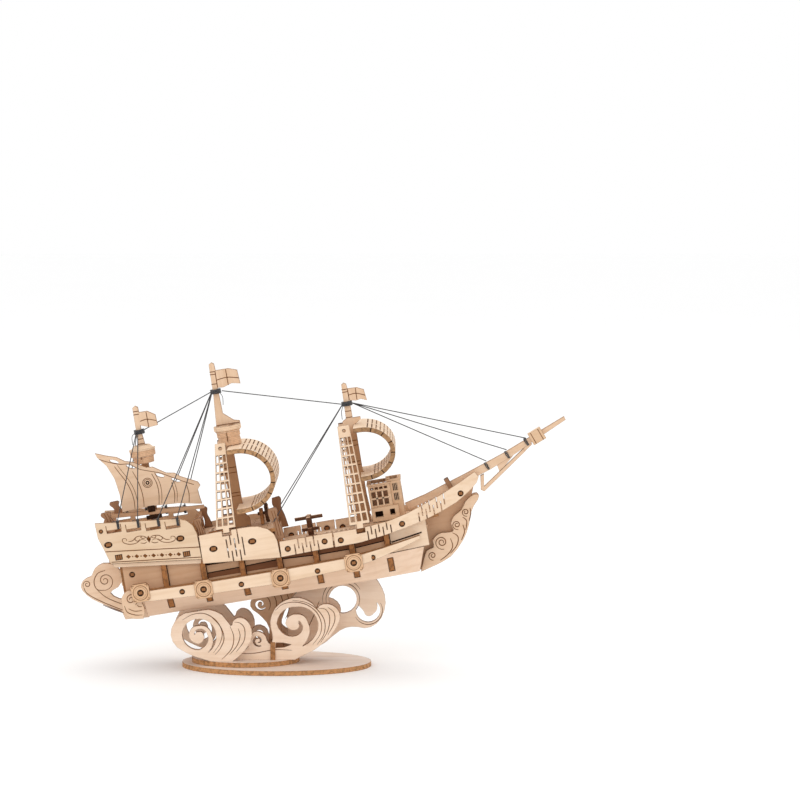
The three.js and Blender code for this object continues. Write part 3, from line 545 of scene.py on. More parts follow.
def bent_sail(name, x0, cx, cz, rx, rz, half_width, mast_front, lap, segments):
    """A sheet made flexible by rows of through cuts, bent to a D, with a slot for the mast at each end."""
    piece = Piece(name + "_bent", "sail", "pale_ply")
    start = math.pi / 2 + math.asin((cx - x0) / rx)
    legs = [("leg", mast_front - lap), ("leg", mast_front + MAST_CLEARANCE)]
    stops = list(legs)
    for k in range(segments):
        stops += [("wood", k / segments), ("cut", (k + 1 - SLIT) / segments)]
    stops += [("wood", 1.0), *reversed(legs)]
    breadth = [-1.0, -TAB_OUTER, -TAB_INNER, TAB_INNER, TAB_OUTER, 1.0]
    rows, columns = len(stops) - 1, len(breadth) - 1

    def is_open(i, j):
        if i in (0, rows - 1):
            return j == 2
        return stops[i][0] == "cut" and 4 < i < rows - 5 and j in (1, 3)

    def place(i, reach):
        kind, value = stops[i]
        if kind == "leg":
            turn = start if i < 2 else -start
            return value, cz + (rz + reach) * math.sin(turn)
        turn = start - 2 * start * value
        return cx + (rx + reach) * math.cos(turn), cz + (rz + reach) * math.sin(turn)

    def at(i, j, reach):
        u, v = place(i, reach)
        return piece.mesh.verts.new(piece.place @ Vector((u, half_width * breadth[j], v)))

    verts = [[(at(i, j, -SAIL_HALF), at(i, j, SAIL_HALF)) for j in range(columns + 1)]
             for i in range(rows + 1)]
    solid = [[not is_open(i, j) for j in range(columns)] for i in range(rows)]
    for i in range(rows):
        for j in range(columns):
            if not solid[i][j]:
                continue
            a, b, c, d = verts[i][j], verts[i + 1][j], verts[i + 1][j + 1], verts[i][j + 1]
            piece.face((a[1], b[1], c[1], d[1]))
            piece.face((d[0], c[0], b[0], a[0]))
            for di, dj, p, q in ((-1, 0, a, d), (1, 0, b, c), (0, -1, a, b), (0, 1, d, c)):
                ii, jj = i + di, j + dj
                if not (0 <= ii < rows and 0 <= jj < columns and solid[ii][jj]):
                    piece.face((p[0], q[0], q[1], p[1]))
    piece.done(replaces=(name,))

    # the cuts that also run out through the edges, seen end on
    ticks = Piece(name + "_ticks", "pit", "dark_ply")
    for i in range(3, rows - 2):
        if stops[i][0] == "cut" and (i // 2) % 3 == 0:
            for side in SIDES:
                ticks.stroke([place(i, -SAIL_HALF), place(i, SAIL_HALF)], 0.4, *skin(half_width, side))
    ticks.done()


bent_sail("main_sail", -3.9, -3.6, 50.8, 13.6, 12.3, 19.6, -5.4, 1.4, 26)
bent_sail("fore_sail", 47.6, 47.8, 53.4, 12.2, 10.0, 17.8, 46.0, 0.7, 22)


# ---- hull fittings ----

CORNERS = [(1, 1), (-1, 1), (-1, -1), (1, -1)]
BOSSES = [(-50.8, 12.5), (-25.2, 9.8), (6.4, 9.3), (36.9, 10.7)]
WALE_PINS = [(-34.0, 10.2), (-9.7, 9.3), (21.8, 9.7), (44.8, 11.2)]


def wale_face(x):
    draw = max(0.0, x - BEAM_START_X) * 0.1
    return half_breadth(x) + WALE_PROUD - draw


def boss_outline(x, z, half=3.7, notch=0.9):
    nick = half - notch * 0.6
    points = []
    for a, b in CORNERS:
        near = [(a * half, b * (half - notch)), (a * nick, b * nick), (a * (half - notch), b * half)]
        points += near if a * b > 0 else near[::-1]
    return [(x + u, z + v) for u, v in points]


BOSS_FACE = 22.62
RING_FACE = 22.8
BOSS_RING = 2.3
BOSS_BORE = 1.35
PIN_HOLE = 1.15

bosses = Piece("wale_bosses", "boss", "pale_ply")
boss_rings = Piece("boss_rings", "boss", "pale_ply")
boss_pegs = Piece("boss_pegs", "peg", "dark_ply")
boss_marks = Piece("boss_engraving", "line", "dark_ply")
pits = Piece("peg_holes", "pit", "dark_ply")
for side in SIDES:
    for x, z in BOSSES:
        bosses.plate(boss_outline(x, z), side * 20.8, side * BOSS_FACE)
        bore = circle(x, z, BOSS_BORE)
        boss_rings.plate(circle(x, z, BOSS_RING), side * 22.3, side * RING_FACE, holes=[bore])
        pits.plate(circle(x, z, BOSS_BORE + 0.02), side * 22.5, side * 22.68)
        boss_pegs.plate(rectangle(x - 0.8, z - 0.62, x + 0.8, z + 0.62), side * 22.3, side * RING_FACE)
        boss_marks.stroke(closed(circle(x, z, 3.0)), 0.22, side * 22.5, side * 22.66)
        for a, b in CORNERS:
            tip = [(x + a * 3.1, z + b * 2.2), (x + a * 3.1, z + b * 3.1), (x + a * 2.2, z + b * 3.1)]
            boss_marks.stroke(tip, 0.24, side * 22.5, side * 22.66)
    for x, z in WALE_PINS:
        face = wale_face(x)
        pits.plate(circle(x, z, PIN_HOLE), side * (face - 0.3), side * (face + 0.05))
        peg = rectangle(x - 0.75, z - 0.55, x + 0.75, z + 0.55)
        boss_pegs.plate(peg, side * (face - 0.2), side * (face + 0.12))
for part in (bosses, boss_rings, boss_pegs, boss_marks, pits):
    part.done()

# Tenons of the deck beams that show in the holes of the sides: x, z, half length, height over length
BEAM_ENDS = [(-62.7, 39.6, 0.9, 1.0), (-60.7, 33.7, 1.7, 0.75), (-31.3, 31.6, 1.7, 0.75),
             (-18.7, 25.2, 1.7, 0.75), (-2.6, 25.7, 1.7, 0.75), (11.2, 20.3, 1.25, 1.0),
             (26.5, 20.9, 1.25, 1.0), (33.1, 20.3, 1.25, 1.0), (58.7, 22.2, 1.25, 1.0),
             (84.3, 29.6, 1.25, 1.0), (-53.6, 19.6, 1.2, 1.0)]
tenons = Piece("beam_tenons", "peg", "dark_ply")
sockets = Piece("beam_sockets", "pit", "dark_ply")
for side in SIDES:
    for x, z, long, ratio in BEAM_ENDS:
        face = half_breadth(x) - (PLANK_DEPTH if z < 20 else 0.0)
        tall = long * ratio
        tenon = rectangle(x - 0.62 * long, z - 0.55 * tall, x + 0.62 * long, z + 0.55 * tall)
        tenons.plate(tenon, side * (face - 2.2), side * (face - 0.3))
        sockets.plate(circle(x, z, long - 0.02, ratio=ratio), side * (face - 1.4), side * (face - 0.75))
tenons.done()
sockets.done()

# ---- between wale and bulwark ----

WALE_TOP = [(-51.5, 12.8), (-24.7, 12.3), (6.8, 12.4), (33, 12.9), (41, 13.4), (49, 14.1), (57, 15.0),
            (68.6, 16.4)]
BULWARK_FOOT = [(-61, 25.9), (-24.1, 21.8), (-24.0, 19.9), (7.7, 17.3), (41, 18.1), (52, 19.2), (60, 20.4),
                (68.6, 22.0)]
SHADOW_LINE = [(-24, 15.2), (-8, 15.6), (7, 16.2), (22, 15.5), (37, 15.7), (50.4, 16.4)]


def height(table, x):
    """Height at x on a line through points of (x, height)."""
    for (x0, z0), (x1, z1) in zip(table, table[1:]):
        if x <= x1:
            return z0 + (z1 - z0) * (x - x0) / (x1 - x0)
    return table[-1][1]


def raised(table, rise):
    return [(x, z + rise) for x, z in table]


def hull_band(piece, side, x0, x1, low, high, outer):
    """A strip on the planking between the lines low and high; outer is how far it stands out."""
    steps = max(1, round((x1 - x0) / 3))
    rows = []
    for i in range(steps + 1):
        x = x0 + (x1 - x0) * i / steps
        face = half_breadth(x) - PLANK_DEPTH
        bottom, top = height(low, x), height(high, x)
        rows.append([piece.point("side", x, bottom, side * face),
                     piece.point("side", x, bottom, side * (face + outer)),
                     piece.point("side", x, top, side * (face + outer)),
                     piece.point("side", x, top, side * face)])
    piece.tube(rows)


RIBS_AT = (-40.3, -24.4, -8.5, 6.9, 22, 37, 51.5)
RIB_HALF = 1.06
# where the band of painted shade on the planking starts, turns at the shadow line and ends
SHADE_BAND_START, SHADE_BAND_STEP, SHADE_BAND_END = -23.6, 7.0, 50.4
BOW_SHEET_FOOT = [(BEAM_START_X, 10.95), (STEM_X, 10.95)]

ribs = Piece("rib_strips", "rib", "tan_ply")
rib_shadow_strips = Piece("rib_shadows", "pit", "dark_ply")
# painted shade: a dark brown band over the planking between wale and bulwark, bounded by the shadow line,
# with a darker line along that line
painted_shade = Piece("hull_painted_shade", "painted_shade", "dark_ply")
painted_shade_line = Piece("hull_painted_shade_edge", "pit", "dark_ply")
bow_sheet = Piece("bow_sheets", "side_pale", "pale_ply")
bow_slot = Piece("bow_sheet_slots", "pit", "dark_ply")
lip = Piece("stern_lips", "side_pale", "pale_ply")
for side in SIDES:
    for x in RIBS_AT:
        face = half_breadth(x) - PLANK_DEPTH
        top = height(BULWARK_FOOT, x) - 0.15
        foot = height(WALE_TOP, x) - 0.1
        edge = x + RIB_HALF
        ribs.plate(rectangle(x - RIB_HALF, foot, edge, top), side * (face - 0.1), side * (face + 1.78))
        # painted shadow: a dark strip along the forward side of each rib
        rib_shadow_strips.plate(rectangle(edge, foot, x + 1.4, top), side * (face - 0.1), side * (face + 0.5))
    hull_band(painted_shade, side, SHADE_BAND_START, SHADE_BAND_STEP, raised(WALE_TOP, 0.9), SHADOW_LINE, 0.1)
    hull_band(painted_shade, side, SHADE_BAND_STEP, SHADE_BAND_END, SHADOW_LINE, raised(BULWARK_FOOT, -0.1), 0.1)
    hull_band(painted_shade_line, side, SHADE_BAND_START, SHADE_BAND_END, raised(SHADOW_LINE, -0.2),
              raised(SHADOW_LINE, 0.25), 0.16)
    hull_band(bow_sheet, side, 52.7, 68.3, BOW_SHEET_FOOT, raised(BULWARK_FOOT, -0.2), 0.12)
    hull_band(bow_slot, side, 53.2, 66.0, raised(WALE_TOP, 0.35), raised(WALE_TOP, 0.95), 0.2)
    lip.plate([(-60.6, 25.5), (-60.0, 23.9), (-24.8, 19.9), (-24.4, 21.5)], side * 17.0, side * 18.3)
for part in (ribs, rib_shadow_strips, painted_shade, painted_shade_line, bow_sheet, bow_slot, lip):
    part.done()

# ---- engraving ----

FLOURISH = [
    smooth([(0, 0.1), (1.5, 1.7), (4.2, 1.9), (5.6, 0.8), (4.6, -0.1), (3.6, 0.7)]),
    smooth([(1.2, 0.0), (3.0, 0.5), (5.4, -0.9), (8.2, -1.2), (10.4, -0.4), (10.6, 1.0), (9.2, 1.2),
            (9.0, 0.2)]),
    smooth([(0.9, 1.4), (2.2, 0.9), (3.1, 1.4), (2.6, 1.9)]),
    smooth([(5.2, 1.5), (6.6, 0.2), (8.4, -0.1)]),
    smooth([(0.9, -0.6), (2.0, -1.1), (3.6, -0.9)]),
]
STRIP_SLOPE = (26.9 - 31.1) / 37.5
FLOURISH_AT = (-44.0, 32.9)
LOZENGES = 7
LOZENGE_PITCH = 3.4
LOZENGE_ROW_AT = (-43.2, 26.5)


def on_slope(points, x, z):
    return [(x + u, z + v + STRIP_SLOPE * u) for u, v in points]


def engrave_stern(piece, low, high):
    piece.stroke([(-62.3, 31.1), (-24.2, 26.9)], LINE_WIDTH, low, high)
    piece.stroke([(-60.6, 26.5), (-24.2, 22.7)], LINE_WIDTH, low, high)
    for flip in SIDES:
        for line in FLOURISH:
            mirrored = [(flip * u, v) for u, v in line]
            piece.stroke(on_slope(mirrored, *FLOURISH_AT), FINE_WIDTH, low, high, taper=0.5)
    piece.plate(on_slope([(0, 1.9), (0.9, 0.6), (0, -1.0), (-0.9, 0.6)], *FLOURISH_AT), low, high)
    # a plain band of lozenges and dots along the strip
    for i in range(LOZENGES):
        u = LOZENGE_PITCH * (i - (LOZENGES - 1) / 2)
        lozenge = [(u, 0.85), (u + 1.0, 0), (u, -0.85), (u - 1.0, 0)]
        piece.plate(on_slope(lozenge, *LOZENGE_ROW_AT), low, high)
        if i < LOZENGES - 1:
            dot = circle(u + LOZENGE_PITCH / 2, 0, 0.3, 10)
            piece.plate(on_slope(dot, *LOZENGE_ROW_AT), low, high)


stern_lines = Piece("stern_engraving", "line", "dark_ply")
for side in SIDES:
    engrave_stern(stern_lines, *skin(BEAM, side))
stern_lines.done()

stern_tabs = Piece("stern_tabs", "pit", "dark_ply")
stern_tab_ends = Piece("stern_tab_ends", "peg", "dark_ply")
for side in SIDES:
    for x in (-57.3, -29.8):
        z = 28.0 + STRIP_SLOPE * (x + 57.3)
        stern_tabs.plate(rectangle(x - 1.5, z - 1.15, x + 1.5, z + 1.15), side * 19.5, side * 20.03)
        for u in (x - 0.85, x, x + 0.85):
            end = rectangle(u - 0.32, z - 0.9, u + 0.32, z + 0.9)
            stern_tab_ends.plate(end, side * 19.5, side * 20.07)
stern_tabs.done()
stern_tab_ends.done()


# Flags, mast bands and the lateen sail
def level_lines(left, right, *heights):
    return [[(left, z), (right, z)] for z in heights]


MAST_LINES = [
    ("main_mast_lines", [
        smooth([(-7.4, 91.6), (-3.0, 92.1), (1.8, 91.1)]),
        [(-3.0, 95.4), (-2.9, 88.8)],
        [(-7.4, 95.4), (-7.45, 88.6)],
        [(-9.7, 95.3), (-7.4, 95.2)],
        [(-9.7, 94.2), (-7.4, 94.1)],
        [(-9.8, 90.2), (-7.5, 90.1)],
        *level_lines(-10.4, -5.4, 54.9, 52.7, 44.3, 42.9),
        *level_lines(-10.6, -1.0, 73.0),
    ]),
    ("fore_mast_lines", [
        smooth([(45.2, 76.7), (48.4, 77.0), (52.0, 75.6)]),
        [(48.5, 79.1), (48.4, 74.4)],
        [(45.2, 79.2), (45.25, 74.7)],
        *level_lines(42.8, 45.1, 79.3, 78.2),
        *level_lines(42.7, 45.3, 70.2),
        *level_lines(42.6, 45.4, 67.6),
        *level_lines(41.0, 46.0, 57.8, 55.8, 49.1, 47.6),
    ]),
    ("mizzen_mast_lines", [
        smooth([(-41.3, 79.9), (-38.4, 80.3), (-34.8, 79.2)]),
        [(-38.3, 83.3), (-38.2, 76.9)],
        *level_lines(-43.6, -41.4, 84.2),
        *level_lines(-43.7, -41.3, 82.9),
        *level_lines(-43.8, -41.3, 72.6),
        *level_lines(-43.9, -41.1, 70.6),
    ]),
]
for name, strokes in MAST_LINES:
    lines = Piece(name, "line", "dark_ply")
    for side in SIDES:
        lines.strokes(strokes, 0.32, *skin(MAST_HALF, side))
    lines.done()

SAIL_SEAMS = [
    ([(-54.4, 63.6), (-52.7, 60.4), (-50.6, 56.4), (-49.3, 52.4), (-48.8, 48.3), (-49.0, 45.0)], 1.3),
    ([(-47.4, 60.4), (-45.9, 56.2), (-45.1, 52.1), (-44.9, 48.1), (-45.2, 45.1)], 0),
    ([(-39.8, 58.2), (-38.4, 54.0), (-38.2, 49.8), (-38.9, 45.2)], 1.2),
    ([(-32.3, 53.4), (-31.8, 48.9), (-32.5, 44.9)], 1.1),
    ([(-26.4, 51.6), (-26.0, 47.6), (-26.6, 43.9)], 0),
]
YARD_LINE = [(-60.2, 67.6), (-56.6, 65.8), (-52.2, 64.2), (-48.4, 63.6), (-44.6, 61.0), (-40.4, 59.4),
             (-36.4, 58.0), (-32.4, 55.8), (-28.2, 53.4), (-23.4, 51.0)]
SAIL_BOSS_AT = (-42.1, 54.8)
LATEEN_FACES = (-6.2, -4.7)
sail_lines = Piece("mizzen_sail_lines", "line", "dark_ply")
sail_boss = Piece("mizzen_sail_boss", "pit", "dark_ply")
for low, high in two_skins(*LATEEN_FACES):
    for points, gap in SAIL_SEAMS:
        sail_lines.stroke(smooth(points), FINE_WIDTH, low, high, taper=0.3)
        if gap:
            sail_lines.stroke(smooth(shift(points, gap, 0.3)), 0.22, low, high, taper=0.3)
    sail_lines.stroke(smooth(YARD_LINE), 0.26, low, high)
    for radius in (1.95, 1.4):
        sail_lines.stroke(closed(circle(*SAIL_BOSS_AT, radius)), 0.26, low, high)
    sail_boss.plate(circle(*SAIL_BOSS_AT, 0.85), low, high, holes=[circle(*SAIL_BOSS_AT, 0.35, 8)])
sail_boss.plate(rectangle(-43.8, 42.6, -40.8, 45.2), -6.35, -4.55)
sail_boss.plate(rectangle(-45.0, 39.6, -38.6, 41.2), -6.0, -4.9)
sail_lines.done()
sail_boss.done()

# Waves of the stand
AFT_LINES = [
    [(-57.6, 21.2), (-53.2, 23.6), (-48.2, 23.9), (-43.6, 21.0), (-41.2, 16.4), (-42.0, 11.8), (-44.8, 7.6)],
    [(-45.4, 22.4), (-41.8, 18.4), (-40.4, 13.6), (-42.0, 9.4), (-44.2, 6.8)],
    [(-37.9, 18.6), (-36.4, 14.2), (-37.4, 9.2), (-41.4, 4.8)],
    [(-36.2, 20.4), (-33.6, 19.9), (-31.9, 17.4), (-32.2, 12.6), (-35.4, 8.0)],
    [(-34.6, 17.8), (-33.8, 14.6), (-35.2, 10.4), (-38.2, 6.8)],
]
FORE_LINES = [
    [(-19.4, 24.6), (-16.4, 27.2), (-11.4, 28.1), (-6.2, 26.9), (-2.2, 23.6), (-0.4, 19.0), (-1.0, 14.6),
     (-4.0, 10.4)],
    [(-12.4, 28.9), (-6.6, 27.9), (-2.0, 24.9), (0.9, 20.2), (0.6, 14.8), (-2.2, 10.4)],
    [(-1.6, 25.6), (1.4, 25.0), (3.0, 21.6), (2.2, 16.2), (-0.8, 11.2)],
    [(2.2, 26.0), (4.8, 23.6), (4.9, 19.6), (2.2, 14.4)],
    [(-36.4, 6.6), (-28.0, 6.8), (-20.0, 8.2), (-12.6, 8.0)],
]
MIDDLE_LINES = [arc(-26, 25.8, radius, start, end, 10)
                for radius, start, end in ((4.2, -35, 75), (6.8, -40, 50), (9.4, -35, 42), (12, -30, 36))]
BOW_LINES = [
    arc(8.2, 27.4, 7.0, 205, -40), arc(8.2, 27.4, 8.4, 190, 30), arc(18.7, 22.9, 6.0, -150, 30),
    [(-1.6, 26.8), (-4.0, 20.4), (-7.0, 14.0)], [(2.6, 20.6), (-0.4, 14.8), (-5.4, 9.4)],
]
BOW_WAVE_FACES = (2.2, 4.2)
WAVE_OUTER_FACES = ((AFT_LINES, 12.2), (FORE_LINES, 8.6))
wave_lines = Piece("wave_engraving", "line", "dark_ply", STAND)
for side in SIDES:
    for lines, outer in WAVE_OUTER_FACES:
        wave_lines.strokes(map(smooth, lines), LINE_WIDTH, *skin(outer, side), taper=0.7)
    wave_lines.strokes(MIDDLE_LINES, LINE_WIDTH, *skin(1, side), taper=0.7)
for depths in two_skins(*BOW_WAVE_FACES):
    wave_lines.strokes(map(smooth, BOW_LINES), LINE_WIDTH, *depths, taper=0.7)
wave_lines.done()

tie = Piece("wave_tie", "stand_cross", "tan_ply", STAND)
tie_outline = [(-9.3, 3.4), (9.3, 3.4), (9.3, 9.6), (8.6, 11.4), (-8.6, 11.4), (-9.3, 9.6)]
tie.plate(tie_outline, -21.5, -19.5, "cross")
tie.done()

# Scrolls at the stern and stem
scroll_lines = Piece("scroll_engraving", "line", "dark_ply")
STERN_LINES = [
    spiral(-67.0, 16.8, 4.0, 0.7, -95, 1.7),
    smooth([(-67.3, 12.8), (-70.8, 13.6), (-71.6, 17.0), (-69.6, 20.2), (-66.2, 21.0)]),
    smooth([(-70.9, 13.6), (-67.8, 9.9), (-62.4, 6.4), (-56.4, 3.8), (-52.2, 2.6)]),
    spiral(-74.6, 16.4, 1.8, 0.5, 200, -1.4),
    smooth([(-76.2, 15.4), (-75.2, 12.6), (-70.8, 9.0), (-65.2, 5.4), (-59.4, 2.2), (-54.6, 0.6)]),
    smooth([(-69.6, 6.8), (-63.6, 3.2), (-58.6, 1.0)]),
]
STEM_LINES = [
    spiral(73.4, 10.4, 3.1, 0.7, -80, -1.9), spiral(68.8, 5.5, 2.0, 0.5, -90, -1.5),
    spiral(80.7, 16.6, 2.1, 0.5, -80, -1.7), spiral(85.2, 21.2, 1.8, 0.5, -80, -1.5),
    smooth([(77.2, 11.4), (77.6, 8.0), (75.4, 5.2), (71.6, 3.0)]),
    smooth([(78.4, 13.6), (80.4, 11.6), (79.4, 8.2), (76.2, 5.2)]),
    smooth([(83.2, 16.2), (83.4, 13.2), (81.6, 10.0)]),
    smooth([(83.6, 19.4), (85.0, 17.4), (84.0, 13.8)]),
    smooth([(87.2, 22.6), (87.2, 20.4), (86.0, 17.4)]),
]
STEM_PLATE_FACE = 3.0
for side in SIDES:
    scroll_lines.strokes(STERN_LINES, LINE_WIDTH, *skin(MAST_HALF, side), taper=0.4)
    scroll_lines.strokes(STEM_LINES, 0.4, *skin(STEM_PLATE_FACE, side), taper=0.4)
scroll_lines.done()

# The small carved scrolls on the quarters, beside the last boss
QUARTER = smooth([(-51.6, 1.6), (-55.6, 2.2), (-58.9, 4.6), (-59.4, 8.2), (-59.0, 11.4), (-56.4, 13.9),
                  (-53.2, 13.4), (-51.6, 11.2), (-51.2, 8.6), (-50.5, 5.0), (-51.6, 1.6)], 4)[:-1]
QUARTER_FACE = 20.7
QUARTER_CURLS = [
    (LINE_WIDTH, [(-58.4, 8.0), (-57.6, 5.2), (-54.6, 3.6), (-51.8, 3.2)]),
    (FINE_WIDTH, [(-57.0, 6.6), (-54.6, 5.2), (-51.6, 5.0)]),
    (FINE_WIDTH, [(-53.2, 7.6), (-52.6, 6.8), (-51.4, 6.6)]),
]
quarter = Piece("quarter_scrolls", "side_birch", "birch_ply")
quarter_lines = Piece("quarter_scroll_lines", "line", "dark_ply")
for side in SIDES:
    quarter.plate(QUARTER, side * 19.2, side * QUARTER_FACE)
    low, high = skin(QUARTER_FACE, side)
    quarter_lines.stroke(spiral(-55.3, 10.2, 2.9, 0.6, -60, 1.7), 0.36, low, high, taper=0.4)
    for width, points in QUARTER_CURLS:
        quarter_lines.stroke(smooth(points), width, low, high, taper=0.5)
quarter.done()
quarter_lines.done()

# ---- decks, rails and bulkheads ----

PLANK_WIDTH = 3.1
SEAM = 0.22
seams = Piece("deck_seams", "fine", "tan_ply")


def deck_seam(x0, y0, x1, y1, deck_top):
    seams.stroke([(x0, y0), (x1, y1)], SEAM, *skin(deck_top), "level")


for k in range(-5, 6):
    y = k * PLANK_WIDTH
    deck_seam(-59.2, y, 7.0, y, UPPER_DECK_TOP)
    deck_seam(8.7, y, 38.4, y, WAIST_DECK_TOP)
    bow_end = 71.0 - abs(y) * 1.7
    deck_seam(39.6, y, min(bow_end, 46.0), y, FORE_DECK_TOP)
    if abs(y) > 8:
        deck_seam(45.0, y, bow_end, y, FORE_DECK_TOP)
    for j in range(5):
        x = -52.0 + 12.4 * j + (k % 2) * 6.2
        deck_seam(x, y, x, y + PLANK_WIDTH, UPPER_DECK_TOP)
seams.done()


RAIL_POST = 1.4  # solid wood at each end of a rail
BAY_GAP = 0.9  # wood between two bays


def baluster_rail(piece, x, low, high, half, bays, thick):
    """A rail across the ship, cut from one sheet with arched bays and a scalloped top."""
    holes = []
    pitch = 2 * (half - RAIL_POST) / bays
    radius = (pitch - BAY_GAP) / 2
    for i in range(bays):
        middle = -half + RAIL_POST + pitch * (i + 0.5)
        head = arc(middle, high - 2.2 - radius, radius, 0, 180, 6)
        holes.append([(middle - radius, low + 1.2), (middle + radius, low + 1.2)] + head)
    crown = [(half - 2 * half * i / 16, high + (0.7 if i % 2 else 0)) for i in range(17)]
    piece.plate([(-half, low), (half, low)] + crown, x, x + thick, "cross", holes)


AFT_BULKHEAD_X = -58.4
AFT_WINDOWS = ((-11.5, -5.5), (5.5, 11.5))
AFT_WINDOW_Z = (16, 21)
rails = Piece("deck_rails", "cross", "tan_ply")
baluster_rail(rails, -25.6, 29.6, 36.4, 17.6, 9, 1.4)
baluster_rail(rails, -60.0, 29.6, 34.6, 17.2, 9, 1.2)
waist_openings = [rectangle(-2.6, 20.9, 2.6, 26.6), rectangle(-12.5, 22.4, -8, 26.2),
                  rectangle(8, 22.4, 12.5, 26.2)]
rails.plate(rectangle(-18, 20.4, 18, 27.8), 7.5, 8.1, "cross", waist_openings)
aft_openings = [rectangle(y0, AFT_WINDOW_Z[0], y1, AFT_WINDOW_Z[1]) for y0, y1 in AFT_WINDOWS]
rails.plate(rectangle(-14.4, 12.4, 14.4, 24.6), AFT_BULKHEAD_X, AFT_BULKHEAD_X + 1, "cross", aft_openings)
rails.done()

# The stern seen from behind: window frames with glazing bars, and carved lines
TRANSOM_FACE = -61.7
TRANSOM_HALF = 16.8
STERN_WINDOWS = [(TRANSOM_FACE, 31, 36, ((-11, -6), (-2.5, 2.5), (6, 11))),
                 (AFT_BULKHEAD_X, *AFT_WINDOW_Z, AFT_WINDOWS)]
CASING = 0.8
casings = Piece("transom_window_frames", "side_pale", "pale_ply")
for x, low, high, windows in STERN_WINDOWS:
    for y0, y1 in windows:
        middle = (y0 + y1) / 2
        border = rectangle(y0 - CASING, low - CASING, y1 + CASING, high + CASING)
        casings.plate(border, x - 0.6, x, "cross", [rectangle(y0, low, y1, high)])
        casings.plate(rectangle(middle - 0.25, low, middle + 0.25, high), x - 0.4, x - 0.1, "cross")
        casings.plate(rectangle(y0, low + 2.3, y1, low + 2.7), x - 0.35, x - 0.15, "cross")
casings.done()
carving = Piece("transom_engraving", "line", "dark_ply")
CARVING_DEPTH = (TRANSOM_FACE - CUT, TRANSOM_FACE + SUNK)
CARVED_ARCH = [(-TRANSOM_HALF, 40.1), (-12.8, 41.7), (0, 43.3), (12.8, 41.7), (TRANSOM_HALF, 40.1)]
CARVED_LINES = [*level_lines(-TRANSOM_HALF, TRANSOM_HALF, 27.0, 29.0), CARVED_ARCH]
carving.strokes(CARVED_LINES, LINE_WIDTH, *CARVING_DEPTH, "cross")
for k in range(-4, 5):
    carving.stroke(arc(k * 3.6, 28.0, 0.6, 0, 360, 12), 0.24, *CARVING_DEPTH, "cross")
for hand in SIDES:
    for points in FLOURISH:
        mirrored = [(hand * u, 39.2 + v) for u, v in points]
        carving.stroke(mirrored, FINE_WIDTH, *CARVING_DEPTH, "cross", taper=0.4)
carving.done()

# Consoles that stand at the ends of the deck rails
BRACKET = smooth([(0, 0), (0.5, 2.6), (0.3, 5.0), (-0.7, 7.4), (-0.5, 9.3)], 4) + smooth(
    [(1.9, 9.6), (2.5, 8.6), (2.1, 6.2), (2.9, 3.4), (3.5, 0)], 4)
# where each stands, and its width and height as shares of the outline's
CONSOLES = [(-24.2, 29.6, 1.0, 0.92), (6.4, 24.6, 1.25, 1.38), (-61.0, 40.9, 1.3, 0.62)]
brackets = Piece("rail_brackets", "bracket", "tan_ply")
bracket_lines = Piece("rail_bracket_lines", "line", "dark_ply")
for side in SIDES:
    for x, z, wide, tall in CONSOLES:
        shape = [(x + u * wide, z + v * tall) for u, v in BRACKET]
        brackets.plate(shape, side * 16.6, side * 18.1)
        for u in (1.0, 1.9):
            groove = [(x + (u - 0.5) * wide, z + 8.6 * tall), (x + u * wide, z + 5.4 * tall),
                      (x + (u + 0.4) * wide, z + 1.0 * tall)]
            bracket_lines.stroke(smooth(groove), 0.24, side * 18.05, side * 18.14)
brackets.done()
bracket_lines.done()

# The deck house: dark sheets behind its windows and brown walls inside them, painted as the shade within,
# glazing bars and cap rails.
# Each box is its aft end, forward end, half width and top.
HOUSE_CABIN = (47.0, 56.2, 7.5, 38.6)
HOUSE_FORE_BOX = (55.0, 60.6, 6.2, 39.4)
CAP_LIP = 0.35
HOUSE_WALL = 1.2
window_shade_sheets = Piece("house_window_shade_sheets", "pit", "dark_ply")
shaded_inner_walls = Piece("house_shaded_inner_walls", "bracket", "tan_ply")
bars = Piece("house_glazing_bars", "rim", "pale_ply")
caps = Piece("house_cap_rails", "house", "tan_ply")
for side in SIDES:
    # painted shade: dark sheets behind the lower windows and the fore box window, brown walls behind the
    # upper windows
    window_shade_sheets.plate(rectangle(48.3, 24.9, 59.3, 28.9), side * 4.6, side * 4.9)
    window_shade_sheets.plate(rectangle(56.4, 31.0, 59.3, 38.4), side * 4.5, side * 4.8)
    shaded_inner_walls.plate(rectangle(48.3, 29.2, 54.9, 36.4), side * 5.0, side * 5.4)
    for x in (50.15, 52.65):
        bars.plate(rectangle(x - 0.35, 29.9, x + 0.35, 36.3), side * 7.5, side * 7.75)
    bars.plate(rectangle(47.5, 32.9, 55.3, 33.5), side * 7.5, side * 7.75)
    for x in (57.7, 58.35, 59.0):
        bars.plate(rectangle(x - 0.14, 31.0, x + 0.14, 38.4), side * 5.9, side * 6.1)
for x0, x1, half, top in (HOUSE_CABIN, HOUSE_FORE_BOX):
    outer = rectangle(x0 - CAP_LIP, -half - CAP_LIP, x1 + CAP_LIP, half + CAP_LIP)
    inner = rectangle(x0 + HOUSE_WALL, HOUSE_WALL - half, x1 - HOUSE_WALL, half - HOUSE_WALL)
    caps.plate(outer, top, top + 0.7, "level", [inner])
for part in (window_shade_sheets, shaded_inner_walls, bars, caps):
    part.done()

